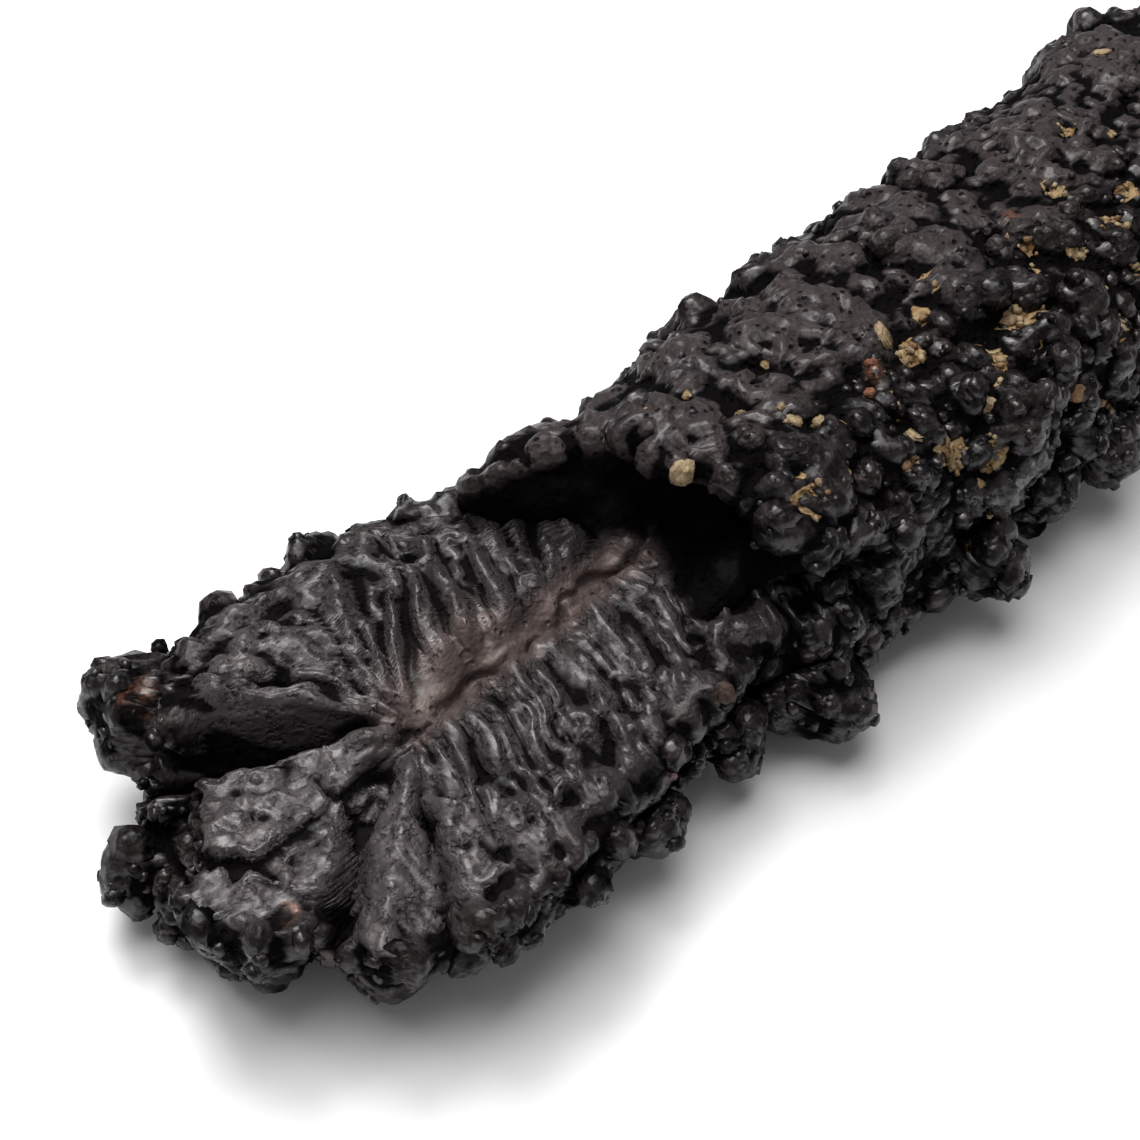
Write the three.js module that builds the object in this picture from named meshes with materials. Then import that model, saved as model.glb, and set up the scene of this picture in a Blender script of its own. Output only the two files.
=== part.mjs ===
// A prophecy stone: a natural stick of dark iron oxide, about 7 cm long, covered in fused round
// knobs. The upper half of its near end is broken away, which bares a leaf-like fracture face with a
// midrib, ribs, a deep cleft and an overhanging scarp.
//
// Millimetres. +X runs along the stick from the broken tip, +Y is the cleft's side, +Z is up. The
// stone rests on z = 0.
//
// The surface is one grid, closed at two poles. Rays leave a spine inside the stone and stop at
// the outer skin or, near the tip, at the broken face. The grid is then spaced evenly and the knobs
// and ribs are raised along its normals.
import * as THREE from 'three';

// ---------------------------------------------------------------- driving dimensions

const ROWS = 112; // from the tip to the far end
const COLUMNS = 42; // round the stone, starting underneath
const DENSE_ROWS = 300;
const DENSE_COLUMNS = 420;

const FAN = { x: -24, y: 0.8 }; // where the midrib ends and the ribs fan out
const BACK_X = 27.4; // where the far end starts to round off
const BACK_LENGTH = 8.6;
const FACE_Z = 7; // height of the broken face
const UNDERSIDE_Z = 0.3; // lowest height of the skin; knobs that reach below z = 0 are worn flat there
const CENTRE = { x: 0.4, y: 1.3 }; // middle of the box round the stone, which goes to the origin
const SECTION_POWER = 2.5; // how square the cross-section is
const BACK_POWER = 2.6;

// Angles round the fan in degrees from -X towards +Y: [angle, reach of the rim in mm], and [angle, share
// of that reach at the foot].
const TIP_REACH = [
  [-90, 9.3], [-74, 9.1], [-61, 9.3], [-51, 9.5], [-43, 10.1], [-38, 10.9], [-31, 10.0], [-21, 9.9],
  [-14, 11.2], [-7, 12.5], [1, 12.0], [9, 10.6], [20, 9.9], [31, 9.3], [40, 9.0], [47, 9.6], [53, 10.8],
  [60, 11.0], [68, 10.6], [78, 10.3], [90, 10.2],
];
const FOOT_SHARE = [
  [-90, 0.74], [-12, 0.76], [3, 0.88], [14, 1.06], [32, 1.12], [42, 0.86], [58, 0.84], [70, 0.95],
  [90, 1.0],
];
// [x, mm]
const HALF_WIDTH_PLUS = [
  [-24, 10.2], [-20, 9.8], [-17, 8.6], [-14, 7.4], [-10, 7.0], [-1, 7.4], [14, 7.5], [24, 7.4], [28, 7.6],
];
const HALF_WIDTH_MINUS = [
  [-24, 9.2], [-20, 8.2], [-17, 7.4], [-14, 6.7], [-11, 6.9], [-8, 7.6], [4, 7.7], [14, 7.7], [28, 7.5],
];
const SPINE_Z = [[-24, 2.2], [-19, 2.6], [-8, 6.0], [4, 6.4], [28, 6.4]];
const TOP_Z = [[-36, 9.0], [-24, 11.0], [-16, 11.6], [-8, 11.9], [4, 11.9], [19, 11.8], [28, 11.6]];

// The scarp behind the broken face: [y, x of its foot], [y, x of its lip] and [y, depth of the hollow
// under the lip]. Where the depth is below zero, the wall bulges.
const SCARP_X = -13.5;
const FOOT_X = [[-9, -15.0], [-6, -13.7], [-4, -13.0], [0, -12.4], [3, -12.6], [5, -13.4], [7, -14.2]];
const LIP_X = [
  [-9, -8.8], [-5.8, -9.1], [-4.5, -9.8], [-1.7, -9.9], [-0.9, -10.2], [0.3, -11.3], [2, -10.4],
  [4, -10.8], [5.2, -14.4], [6.2, -15.2], [7.2, -14.8], [8.5, -14.2],
];
const HOLLOW_DEPTH = [
  [-9, 0], [-5.5, 0.2], [-4, 1.4], [-2, 3.8], [1, 4.4], [2.6, 3.0], [4, 0.6], [5.2, -0.8],
  [7, -0.6], [8.5, -0.3],
];

// Shares of the grid's length taken by the tip, the broken face, the scarp and the stick.
const TIP_SHARE = 0.26;
const SCARP_START = 0.42;
const SCARP_END = 0.52;
const BACK_START = 0.9;

// The lumps that stand out of the outline: [x, y, z, radius].
const LUMPS = [
  // lower left of the tip
  [-33.6, 3.4, 3.0, 1.5], [-34.0, 5.4, 3.0, 1.4], [-32.6, 6.4, 4.2, 1.2], [-31.6, 7.0, 3.0, 1.3],
  // the knob beyond the cleft
  [-30.9, 9.9, 5.0, 1.5], [-30.6, 11.2, 5.0, 1.1],
  // along the lower edge, from the tip
  [-24.2, -7.9, 4.8, 0.9], [-19.4, -6.3, 3.8, 1.2], [-16.4, -5.8, 3.8, 1.2],
  [-14.2, -6.5, 3.4, 1.3], [-9.2, -7.4, 2.8, 1.5], [-3.4, -6.0, 3.0, 1.4], [1.4, -7.7, 4.0, 1.5],
  [0.7, -8.8, 3.8, 0.8], [5.7, -7.3, 4.4, 1.5], [10.2, -7.2, 4.2, 1.3],
  // behind the broken face
  [-20.9, 10.6, 5.8, 1.2], [-26.2, 9.8, 6.0, 1.4], [-23.4, 9.8, 6.0, 1.2], [-17.4, 8.4, 5.6, 1.3],
  [-15.4, 7.4, 6.2, 1.2],
  // the lip of the scarp
  [-13.2, 5.2, 9.0, 1.9], [-11.5, 0.6, 10.3, 1.4], [-9.9, -1.6, 10.3, 1.5], [-8.9, -5.0, 8.8, 1.9],
  [-8.0, -5.8, 7.0, 1.8],
  // along the upper edge and on the flank of the stick
  [-1.4, 5.8, 8.8, 1.5], [2.6, 5.6, 9.0, 1.4], [7.6, 5.2, 9.0, 1.8], [12.2, 5.2, 9.0, 1.9],
  [20.0, 5.4, 8.8, 1.7], [29.4, 5.4, 8.8, 1.8], [3.0, -6.2, 8.8, 1.8],
];
const LUMP_BLEND = 0.35;
const RIM_BLEND = 0.5;

// Fused knobs: the size of a cell that holds one, how high it rises, and how the cells wander.
const BIG_KNOB = { cell: 4.2, height: 1.0, fill: 0.95, lowest: 0.3, seed: 101 };
const MIDDLE_KNOB = { cell: 2.1, height: 0.75, fill: 1.0, lowest: 0.25, seed: 201 };
const KNOBS_SUNK = 0.3; // how far the surface between the knobs lies under the bare skin
const WANDER = { cell: 3, reach: 0.45 };
const WORN_HEIGHT = 0.75; // what the knobs on top are worn down to

const RIB = { cell: 1.1, length: 4.5, height: 0.34, slant: 0.2, fanRadius: 4.5, seed: 51 };

// ---------------------------------------------------------------- small functions

const clamp01 = (value) => Math.min(1, Math.max(0, value));

function smooth(from, to, value) {
  const t = clamp01((value - from) / (to - from));
  return t * t * (3 - 2 * t);
}

function softMin(a, b, blend) {
  const h = clamp01(0.5 + (0.5 * (b - a)) / blend);
  return b * (1 - h) + a * h - blend * h * (1 - h);
}

const softMax = (a, b, blend) => -softMin(-a, -b, blend);

// An eased curve through [position, value] pairs, level at each of them.
function through(position, pairs) {
  let k = 0;
  while (k < pairs.length - 2 && position > pairs[k + 1][0]) k += 1;
  const [start, low] = pairs[k];
  const [end, high] = pairs[k + 1];
  return low + (high - low) * smooth(start, end, position);
}

// A number from 0 to 1 that depends only on a cell of the lattice and a seed.
function scatter(i, j, k, seed) {
  let h = Math.imul(i, 0x8da6b343) ^ Math.imul(j, 0xd8163841) ^ Math.imul(k, 0xcb1ab31f);
  h ^= Math.imul(seed, 0x165667b1);
  h = Math.imul(h ^ (h >>> 15), 0x2c1b3c6d);
  h = Math.imul(h ^ (h >>> 12), 0x297a2d39);
  return ((h ^ (h >>> 15)) >>> 0) / 4294967296;
}

// Smooth noise from -1 to 1.
function noise(x, y, z, seed) {
  const corner = [Math.floor(x), Math.floor(y), Math.floor(z)];
  const ease = [x, y, z].map((value, axis) => {
    const f = value - corner[axis];
    return f * f * f * (f * (f * 6 - 15) + 10);
  });
  let sum = 0;
  for (let n = 0; n < 8; n += 1) {
    const step = [n & 1, (n >> 1) & 1, (n >> 2) & 1];
    const share = step.reduce((product, s, axis) => product * (s ? ease[axis] : 1 - ease[axis]), 1);
    sum += share * scatter(corner[0] + step[0], corner[1] + step[1], corner[2] + step[2], seed);
  }
  return sum * 2 - 1;
}

const twoOctaves = (x, y, z, seed) =>
  (noise(x, y, z, seed) + 0.5 * noise(2 * x, 2 * y, 2 * z, seed + 1)) / 1.5;

// Round domes, one in each cell of the lattice: the highest one over a point, from 0 to 1.
function domes(x, y, z, kind) {
  const point = [x / kind.cell, y / kind.cell, z / kind.cell];
  const cell = point.map(Math.floor);
  let highest = 0;
  for (let n = 0; n < 27; n += 1) {
    const step = [n % 3, Math.floor(n / 3) % 3, Math.floor(n / 9)];
    const at = cell.map((value, axis) => value + step[axis] - 1);
    const random = [0, 1, 2, 3].map((s) => scatter(at[0], at[1], at[2], kind.seed + s));
    const radius = kind.fill * (0.5 + 0.35 * random[3]);
    let square = 0;
    for (let axis = 0; axis < 3; axis += 1) {
      square += (at[axis] + 0.5 + (random[axis] - 0.5) * 0.8 - point[axis]) ** 2;
    }
    const rise = Math.sqrt(Math.max(0, 1 - square / (radius * radius)));
    highest = Math.max(highest, (kind.lowest + (1 - kind.lowest) * random[0]) * rise);
  }
  return highest;
}

// ---------------------------------------------------------------- the broken face

// Height of the face over a point: lobes that droop to the tip, the midrib's valley, a deep cleft
// and the grooves between the lobes.
function faceHeight(x, y) {
  const ahead = FAN.x - x;
  const aside = y - FAN.y;
  const reach = Math.hypot(ahead, aside);
  const angle = THREE.MathUtils.radToDeg(Math.atan2(aside, ahead));
  const arc = (degrees) => THREE.MathUtils.degToRad(angle - degrees) * reach;
  const valley = (offset, width) => Math.exp(-((offset / width) ** 2));

  let z = FACE_Z + 0.3 * (aside / 9) - 0.55 * (aside / 9) ** 2;
  if (angle < 60) z -= 0.9 * smooth(1, 11, ahead);
  z += 0.35 * smooth(40, 50, angle) * smooth(1, 6, reach);
  // the cleft
  z -= 3.2 * smooth(29, 35, angle) * (1 - smooth(43, 50, angle)) * smooth(0.6, 5, reach);
  // the small leaflet, a little lower than its neighbours, between its two grooves
  const bend = -9 - 18 * smooth(1, 9, reach);
  z -= 1.2 * valley(arc(bend), 0.5) * smooth(0.8, 3.5, reach) * (1 + 0.9 * smooth(7, 10, reach));
  const leaflet = smooth(bend, bend - 5, angle) * (1 - smooth(-52, -57, angle)) * smooth(1, 5, reach);
  z -= leaflet * (0.55 - 0.5 * valley(arc(-38), 1.1));
  z -= valley(arc(-46 - 9 * smooth(2, 6, reach)), 0.4) * smooth(1.2, 4, reach);
  // the pit at the end of the midrib, and the midrib's valley
  z -= 0.8 * valley(x + 25, 0.8) * valley(y - 0.2, 0.9);
  const midrib = valley(aside - 0.25 * Math.sin(0.9 * x), 0.7) * (1 + 0.5 * Math.sin(1.7 * x));
  return z - 0.5 * smooth(-25.5, -23.5, x) * midrib;
}

// First place along a ray where it comes up through the broken face, or a number past the skin.
function faceAlongRay(start, ray) {
  const beyond = 99;
  if (ray.z <= 0.02 || start.x > -6) return beyond;
  const gapAt = (t) => start.z + ray.z * t - faceHeight(start.x + ray.x * t, start.y + ray.y * t);
  const stride = 0.3;
  let previous = gapAt(stride);
  for (let t = 2 * stride; t < 14; t += stride) {
    const gap = gapAt(t);
    if (gap > 0) return t - stride * clamp01(gap / Math.max(gap - previous, 1e-6));
    previous = gap;
  }
  return beyond;
}

// Ribs cross the face from the midrib, and fan out round its end. Each point of the face has a place
// along the midrib, where its rib starts, and a distance out along that rib.
function ribPlace(x, y) {
  const aside = y - FAN.y;
  const along = x - FAN.x - RIB.slant * aside;
  const out = Math.abs(aside);
  const side = Math.sign(aside);
  if (along > 0) return { place: along, out, side };
  return { place: -RIB.fanRadius * Math.atan2(-along, out), out: Math.hypot(along, out), side };
}

// ---------------------------------------------------------------- the skin

const spineY = (x) => FAN.y * (1 - smooth(-22, -6, x));

// Narrows the section under the rim: base at the foot, easing to 1 at the rim's height.
const footShare = (base, up) => base + (1 - base) * smooth(0.05, 0.36, up);

// Half the width at x, in the direction (side, up). Near the tip, the -Y side is undercut.
function halfWidth(x, side, up) {
  if (side >= 0) return through(x, HALF_WIDTH_PLUS);
  const base = 1 - (1 - FOOT_SHARE[0][1]) * smooth(-9.5, -14, x);
  return through(x, HALF_WIDTH_MINUS) * footShare(base, up);
}

// Distance from the spine to the skin, straight out in the direction (side, up).
function sectionRadius(x, side, up) {
  const width = halfWidth(x, side, up);
  const height = up >= 0 ? through(x, TOP_Z) - through(x, SPINE_Z) : through(x, SPINE_Z) - UNDERSIDE_Z;
  const sum = Math.abs(side / width) ** SECTION_POWER + Math.abs(up / height) ** SECTION_POWER;
  return sum ** (-1 / SECTION_POWER);
}

// Pushes the skin out to where a ray leaves the lumps.
function lumpsAlongRay(start, ray, skin) {
  let reach = skin;
  for (const [x, y, z, radius] of LUMPS) {
    const offset = new THREE.Vector3(x, y, z).sub(start);
    const nearest = offset.dot(ray);
    const inside = nearest * nearest - offset.lengthSq() + radius * radius;
    if (inside > 0 && nearest > 0) reach = softMax(reach, nearest + Math.sqrt(inside), LUMP_BLEND);
  }
  return reach;
}

// Where a grid line crosses the scarp: rows bunch on it, so that it can overhang.
function scarpX(share, side, up) {
  const spineZ = through(SCARP_X, SPINE_Z);
  const skin = sectionRadius(SCARP_X, side, up);
  const face = up > 0.02 ? (FACE_Z - 0.3 - spineZ) / up : 99;
  const steep = smooth(0.2, 2.5, Math.max(0, skin - face));
  const footY = spineY(SCARP_X) + Math.min(face, skin) * side;
  const lipY = spineY(SCARP_X) + skin * side;
  const foot = through(footY, FOOT_X);
  const lip = through(lipY, LIP_X);
  const hollow = through((footY + lipY) / 2, HOLLOW_DEPTH);

  const start = (SCARP_START - TIP_SHARE) / (BACK_START - TIP_SHARE);
  const end = (SCARP_END - TIP_SHARE) / (BACK_START - TIP_SHARE);
  const climb = clamp01((share - start) / (end - start));
  let x = foot + (lip - foot) * smooth(0, 1, climb) + hollow * Math.sin(Math.PI * climb);
  if (share < start) x = FAN.x + ((foot - FAN.x) * share) / start;
  if (share > end) x = lip + ((BACK_X - lip) * (share - end)) / (1 - end);
  const plain = FAN.x + (BACK_X - FAN.x) * share;
  return { x: plain + (x - plain) * steep, climb, steep };
}

// A point of the bare surface. u runs from the tip to the far end and v goes round from underneath.
function surfacePoint(u, v) {
  const turn = 2 * Math.PI * v - Math.PI / 2;
  const side = Math.cos(turn);
  const up = Math.sin(turn);
  const atTip = u < TIP_SHARE;
  const atBack = u > BACK_START;
  const share = clamp01((u - TIP_SHARE) / (BACK_START - TIP_SHARE));
  const scarp = scarpX(share, side, up);

  let x = scarp.x;
  let lean = Math.PI / 2;
  let ahead = 1;
  if (atTip) {
    x = FAN.x;
    lean *= u / TIP_SHARE;
    ahead = -1;
  } else if (atBack) {
    x = BACK_X;
    lean *= (1 - u) / (1 - BACK_START);
  }
  const ray = new THREE.Vector3(ahead * Math.cos(lean), Math.sin(lean) * side, Math.sin(lean) * up);
  const start = new THREE.Vector3(x, spineY(x), through(x, SPINE_Z));

  let skin = sectionRadius(x, side, up);
  const height = ray.z >= 0 ? through(x, TOP_Z) - start.z : start.z - UNDERSIDE_Z;
  if (atTip) {
    const angle = THREE.MathUtils.radToDeg(Math.atan2(ray.y, -ray.x));
    const rim = through(angle, TIP_REACH) * footShare(through(angle, FOOT_SHARE), ray.z);
    const level = Math.hypot(ray.x, ray.y) / rim;
    skin = (level ** SECTION_POWER + Math.abs(ray.z / height) ** SECTION_POWER) ** (-1 / SECTION_POWER);
  } else if (atBack) {
    const width = halfWidth(x, side, up);
    const sum = (ray.x / BACK_LENGTH) ** BACK_POWER + Math.abs(ray.y / width) ** BACK_POWER
      + Math.abs(ray.z / height) ** BACK_POWER;
    skin = sum ** (-1 / BACK_POWER);
  }
  skin = lumpsAlongRay(start, ray, skin);
  const cut = faceAlongRay(start, ray);
  let past = scarp.climb;
  if (atTip) past = 0;
  if (atBack) past = 1;
  const reach = softMin(cut, skin, RIM_BLEND) * (1 - past) + skin * past;
  const point = start.addScaledVector(ray, reach);
  const face = smooth(-0.2, 0.8, skin - cut) * (1 - smooth(0, 0.15, past));
  const wall = smooth(0.02, 0.15, past) * (1 - smooth(0.85, 1, past)) * scarp.steep;
  return [point.x, point.y, point.z, face, wall];
}

// ---------------------------------------------------------------- the grid

const makeGrid = (rows, columns, at) =>
  Array.from({ length: rows }, (_, i) => Array.from({ length: columns }, (__, j) => at(i, j)));
const transpose = (grid) => makeGrid(grid[0].length, grid.length, (i, j) => grid[j][i]);
const distance = (a, b) => Math.hypot(a[0] - b[0], a[1] - b[1], a[2] - b[2]);
const blend = (a, b, t) => a.map((value, k) => value * (1 - t) + b[k] * t);

// Averages each value of a grid of numbers with its neighbours, several times over.
function blurred(grid, times) {
  const last = grid.length - 1;
  const count = grid[0].length;
  let result = grid;
  for (let n = 0; n < times; n += 1) {
    const from = result;
    result = makeGrid(grid.length, count, (i, j) => {
      const before = from[Math.max(0, i - 1)][j];
      const after = from[Math.min(last, i + 1)][j];
      const left = from[i][(j + count - 1) % count];
      const right = from[i][(j + 1) % count];
      return (before + after + left + right + 2 * from[i][j]) / 6;
    });
  }
  return result;
}

// Places count points along a line so that each step between them weighs the same.
function spaced(line, weights, count, isClosed) {
  const points = isClosed ? [...line, line[0]] : line;
  const sums = [0];
  weights.forEach((weight, k) => sums.push(sums[k] + weight));
  const total = sums[points.length - 1];
  const result = [];
  let k = 0;
  for (let n = 0; n < count; n += 1) {
    const goal = (total * n) / (isClosed ? count : count - 1);
    while (k < points.length - 2 && sums[k + 1] < goal) k += 1;
    result.push(blend(points[k], points[k + 1], clamp01((goal - sums[k]) / (sums[k + 1] - sums[k]))));
  }
  return result;
}

const FINE_AROUND = 1.2; // how much closer the columns lie on the upper -Y side
const FINE_NEAR_TIP = 0.5; // how much closer the rows lie near the tip
const SHORTEST = 1e-5;

function spacedRound(grid, count) {
  const steps = grid.map((row) => row.map((point, j) => distance(point, row[(j + 1) % row.length])));
  const even = blurred(steps, 30);
  return grid.map((row, i) => {
    const weights = row.map((point, j) => {
      const away = new THREE.Vector2(point[1] - 0.4, point[2] - 6).normalize();
      const shown = smooth(-0.35, 0.35, away.dot(new THREE.Vector2(-0.53, 0.848)));
      return even[i][j] * (1 + FINE_AROUND * shown) + SHORTEST;
    });
    return spaced(row, weights, count, true);
  });
}

function spacedAlong(grid, count) {
  const steps = grid.slice(1).map((row, i) => row.map((point, j) => distance(point, grid[i][j])));
  const even = transpose(blurred(steps, 30));
  const lines = transpose(grid).map((line, j) => {
    const nearTip = (i) => 1 + FINE_NEAR_TIP * smooth(4, -26, line[i][0]);
    const weights = even[j].map((step, i) => step * nearTip(i) + SHORTEST);
    return spaced(line, weights, count, false);
  });
  return transpose(lines);
}

function normalAt(grid, i, j) {
  const count = grid[0].length;
  const vector = (point) => new THREE.Vector3(point[0], point[1], point[2]);
  const along = vector(grid[Math.min(grid.length - 1, i + 1)][j]).sub(vector(grid[Math.max(0, i - 1)][j]));
  const round = vector(grid[i][(j + 1) % count]).sub(vector(grid[i][(j + count - 1) % count]));
  return round.cross(along).normalize();
}

// ---------------------------------------------------------------- knobs and ribs

function relief([x, y, z, face, wall]) {
  const shift = [11, 21, 31].map((seed) => (
    WANDER.reach * twoOctaves(x / WANDER.cell, y / WANDER.cell, z / WANDER.cell, seed)
  ));
  const at = [x + shift[0], y + shift[1], z + shift[2]];
  const big = domes(...at, BIG_KNOB);
  const middle = domes(...at, MIDDLE_KNOB);
  const rough = BIG_KNOB.height * big + MIDDLE_KNOB.height * middle - KNOBS_SUNK;
  const wear = 0.75 * smooth(7.5, 10.5, z) * smooth(-4, 0.5, y);
  const skin = rough * (1 - wear) + softMin(rough, WORN_HEIGHT, 0.4) * wear;

  const rib = ribPlace(x, y);
  const place = rib.place + 0.35 * twoOctaves(x / 2.2, y / 2.2, rib.side * 3, 41);
  const ridge = 1 - 2 * Math.abs(noise(place / RIB.cell, rib.out / RIB.length + rib.side * 7, 0, RIB.seed));
  const ribs = RIB.height * ridge * smooth(0.8, 2.6, rib.out);

  const hollow = 0.6 * big + 0.6 * middle - 0.2;
  return (skin * (1 - face) + ribs * face) * (1 - wall) + hollow * wall;
}

function splitAtShorterDiagonal([a, b, c, d], points) {
  if (distance(points[a], points[c]) < distance(points[b], points[d])) return [a, b, c, a, c, d];
  return [a, b, d, b, c, d];
}

function stoneGeometry() {
  const dense = makeGrid(DENSE_ROWS, DENSE_COLUMNS, (i, j) => (
    surfacePoint(i / (DENSE_ROWS - 1), j / DENSE_COLUMNS)
  ));
  const grid = spacedRound(spacedAlong(spacedRound(dense, COLUMNS), ROWS), COLUMNS);
  const inner = makeGrid(ROWS - 2, COLUMNS, (i, j) => {
    const point = grid[i + 1][j];
    const normal = normalAt(grid, i + 1, j);
    const height = relief(point);
    return [
      point[0] + normal.x * height,
      point[1] + normal.y * height,
      Math.max(0, point[2] + normal.z * height),
    ];
  });
  const tip = grid[0][0].slice(0, 3);
  const end = grid[ROWS - 1][0].slice(0, 3);

  const points = [tip, ...inner.flat(), end];
  const index = (i, j) => 1 + i * COLUMNS + (j % COLUMNS);
  const lastPoint = points.length - 1;
  const triangles = [];
  for (let j = 0; j < COLUMNS; j += 1) {
    triangles.push(0, index(0, j + 1), index(0, j));
    triangles.push(lastPoint, index(ROWS - 3, j), index(ROWS - 3, j + 1));
    for (let i = 0; i < ROWS - 3; i += 1) {
      const corners = [index(i, j), index(i, j + 1), index(i + 1, j + 1), index(i + 1, j)];
      triangles.push(...splitAtShorterDiagonal(corners, points));
    }
  }
  const geometry = new THREE.BufferGeometry();
  geometry.setAttribute('position', new THREE.Float32BufferAttribute(points.flat(), 3));
  geometry.setIndex(triangles);
  geometry.translate(-CENTRE.x, -CENTRE.y, 0);
  geometry.computeVertexNormals();
  return geometry;
}

// ---------------------------------------------------------------- the stone

const ironOxide = new THREE.MeshStandardMaterial({ color: 0x2b2729, roughness: 0.42, metalness: 0.1 });

const stone = new THREE.Mesh(stoneGeometry(), ironOxide);
stone.name = 'stone';

const prophecyStone = new THREE.Group();
prophecyStone.name = 'prophecy_stone';
prophecyStone.add(stone);

export default prophecyStone;
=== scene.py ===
"""Prophecy stone: a knobbly stick of dark iron oxide with a ribbed, leaf-like broken face."""
import itertools
import math

import bpy
import numpy as np
from mathutils import Matrix, Vector


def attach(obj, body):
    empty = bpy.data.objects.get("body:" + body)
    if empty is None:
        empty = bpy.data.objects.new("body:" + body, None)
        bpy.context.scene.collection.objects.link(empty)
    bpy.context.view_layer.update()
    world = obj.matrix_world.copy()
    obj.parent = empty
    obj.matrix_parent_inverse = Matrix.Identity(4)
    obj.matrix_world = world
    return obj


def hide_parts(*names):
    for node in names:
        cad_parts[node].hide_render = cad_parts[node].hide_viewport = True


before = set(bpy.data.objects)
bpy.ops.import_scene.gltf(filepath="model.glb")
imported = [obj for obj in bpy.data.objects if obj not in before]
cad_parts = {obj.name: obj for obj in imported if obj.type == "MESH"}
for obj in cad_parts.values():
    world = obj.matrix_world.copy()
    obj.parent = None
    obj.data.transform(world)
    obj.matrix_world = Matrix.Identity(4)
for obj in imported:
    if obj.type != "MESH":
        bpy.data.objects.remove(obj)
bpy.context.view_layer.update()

bl_info = {
    "name": "Prophecy Stone",
    "version": (1, 0, 0),
    "blender": (4, 5, 0),
    "location": "View3D > Sidebar > Prophecy Stone",
    "description": "Builds a knobbly iron-oxide stone with a ribbed broken face, and its stage",
    "category": "Add Mesh",
}

MM = 0.001

# ---- the stone's driving sizes
# Millimetres. +X runs along the stick from the broken tip, +Y is the cleft's side, +Z is up.

FAN_X, FAN_Y = -24.0, 0.8  # where the midrib ends and the ribs fan out
CLEFT = (29, 35, 43, 50)  # degrees round the fan at which the cleft's sides start and end
LEAFLET = -38  # degrees round the fan of the leaflet's middle
BACK_X, BACK_LENGTH = 27.4, 8.6  # where the far end starts to round off, and over what length
FACE_Z = 7.0  # height of the broken face
FACE_END_X = -6.0  # rays that start past this never meet the broken face
UNDERSIDE_Z = 0.3  # lowest height of the bare skin
CENTRE = np.array([0.4, 1.3, 0.0])  # middle of the box round the stone
BOX_LOW = CENTRE + (-37.2, -11.9, 0)  # nothing of the stone reaches past this box
BOX_HIGH = CENTRE + (37.2, 11.9, 13.1)
SECTION_POWER, BACK_POWER = 2.5, 2.6  # how square the cross-section and the far end are
MISSED = 99.0  # distance along a ray that never meets a surface
FLATTEST = 0.02  # rise of the flattest ray that may meet the broken face

# Round the fan, in degrees from -X towards +Y: (angle, reach of the rim) and (angle, share of that
# reach at the foot).
TIP_REACH = (
    (-90, 9.3), (-74, 9.1), (-61, 9.3), (-51, 9.5), (-43, 10.1), (-38, 10.9), (-31, 10),
    (-21, 9.9), (-14, 11.2), (-7, 12.5), (1, 12), (9, 10.6), (20, 9.9), (31, 9.3), (40, 9),
    (47, 9.6), (53, 10.8), (60, 11), (68, 10.6), (78, 10.3), (90, 10.2),
)
FOOT_SHARE = (
    (-90, 0.74), (-12, 0.76), (3, 0.88), (14, 1.06), (32, 1.12), (42, 0.86), (58, 0.84), (70, 0.95),
    (90, 1),
)

# Along the stick: (x, half width on the +Y side), (x, half width on the -Y side), (x, height of the
# spine that the rays start from) and (x, height of the top).
HALF_WIDTH_PLUS = (
    (-24, 10.2), (-20, 9.8), (-17, 8.6), (-14, 7.4), (-10, 7), (-1, 7.4), (14, 7.5), (24, 7.4),
    (28, 7.6),
)
HALF_WIDTH_MINUS = (
    (-24, 9.2), (-20, 8.2), (-17, 7.4), (-14, 6.7), (-11, 6.9), (-8, 7.6), (4, 7.7), (14, 7.7),
    (28, 7.5),
)
SPINE_Z = ((-24, 2.2), (-19, 2.6), (-8, 6.0), (4, 6.4), (28, 6.4))
TOP_Z = ((-36, 9.0), (-24, 11.0), (-16, 11.6), (-8, 11.9), (4, 11.9), (19, 11.8), (28, 11.6))

# The scarp behind the broken face: (y, x of its foot), (y, x of its lip) and (y, depth of the
# hollow under the lip). Where the depth is below zero, the wall bulges.
SCARP_X = -13.5
FOOT_X = (
    (-9, -15), (-6, -13.7), (-4, -13), (0, -12.4), (3, -12.6), (5, -13.4), (7, -14.2),
)
LIP_X = (
    (-9, -8.8), (-5.8, -9.1), (-4.5, -9.8), (-1.7, -9.9), (-0.9, -10.2), (0.3, -11.3), (2, -10.4),
    (4, -10.8), (5.2, -14.4), (6.2, -15.2), (7.2, -14.8), (8.5, -14.2),
)
HOLLOW_DEPTH = (
    (-9, 0), (-5.5, 0.2), (-4, 1.4), (-2, 3.8), (1, 4.4), (2.6, 3), (4, 0.6), (5.2, -0.8),
    (7, -0.6), (8.5, -0.3),
)

# Shares of the grid's length taken by the tip, the broken face, the scarp and the stick.
TIP_SHARE, SCARP_START, SCARP_END, BACK_START = 0.26, 0.42, 0.52, 0.90

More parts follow.
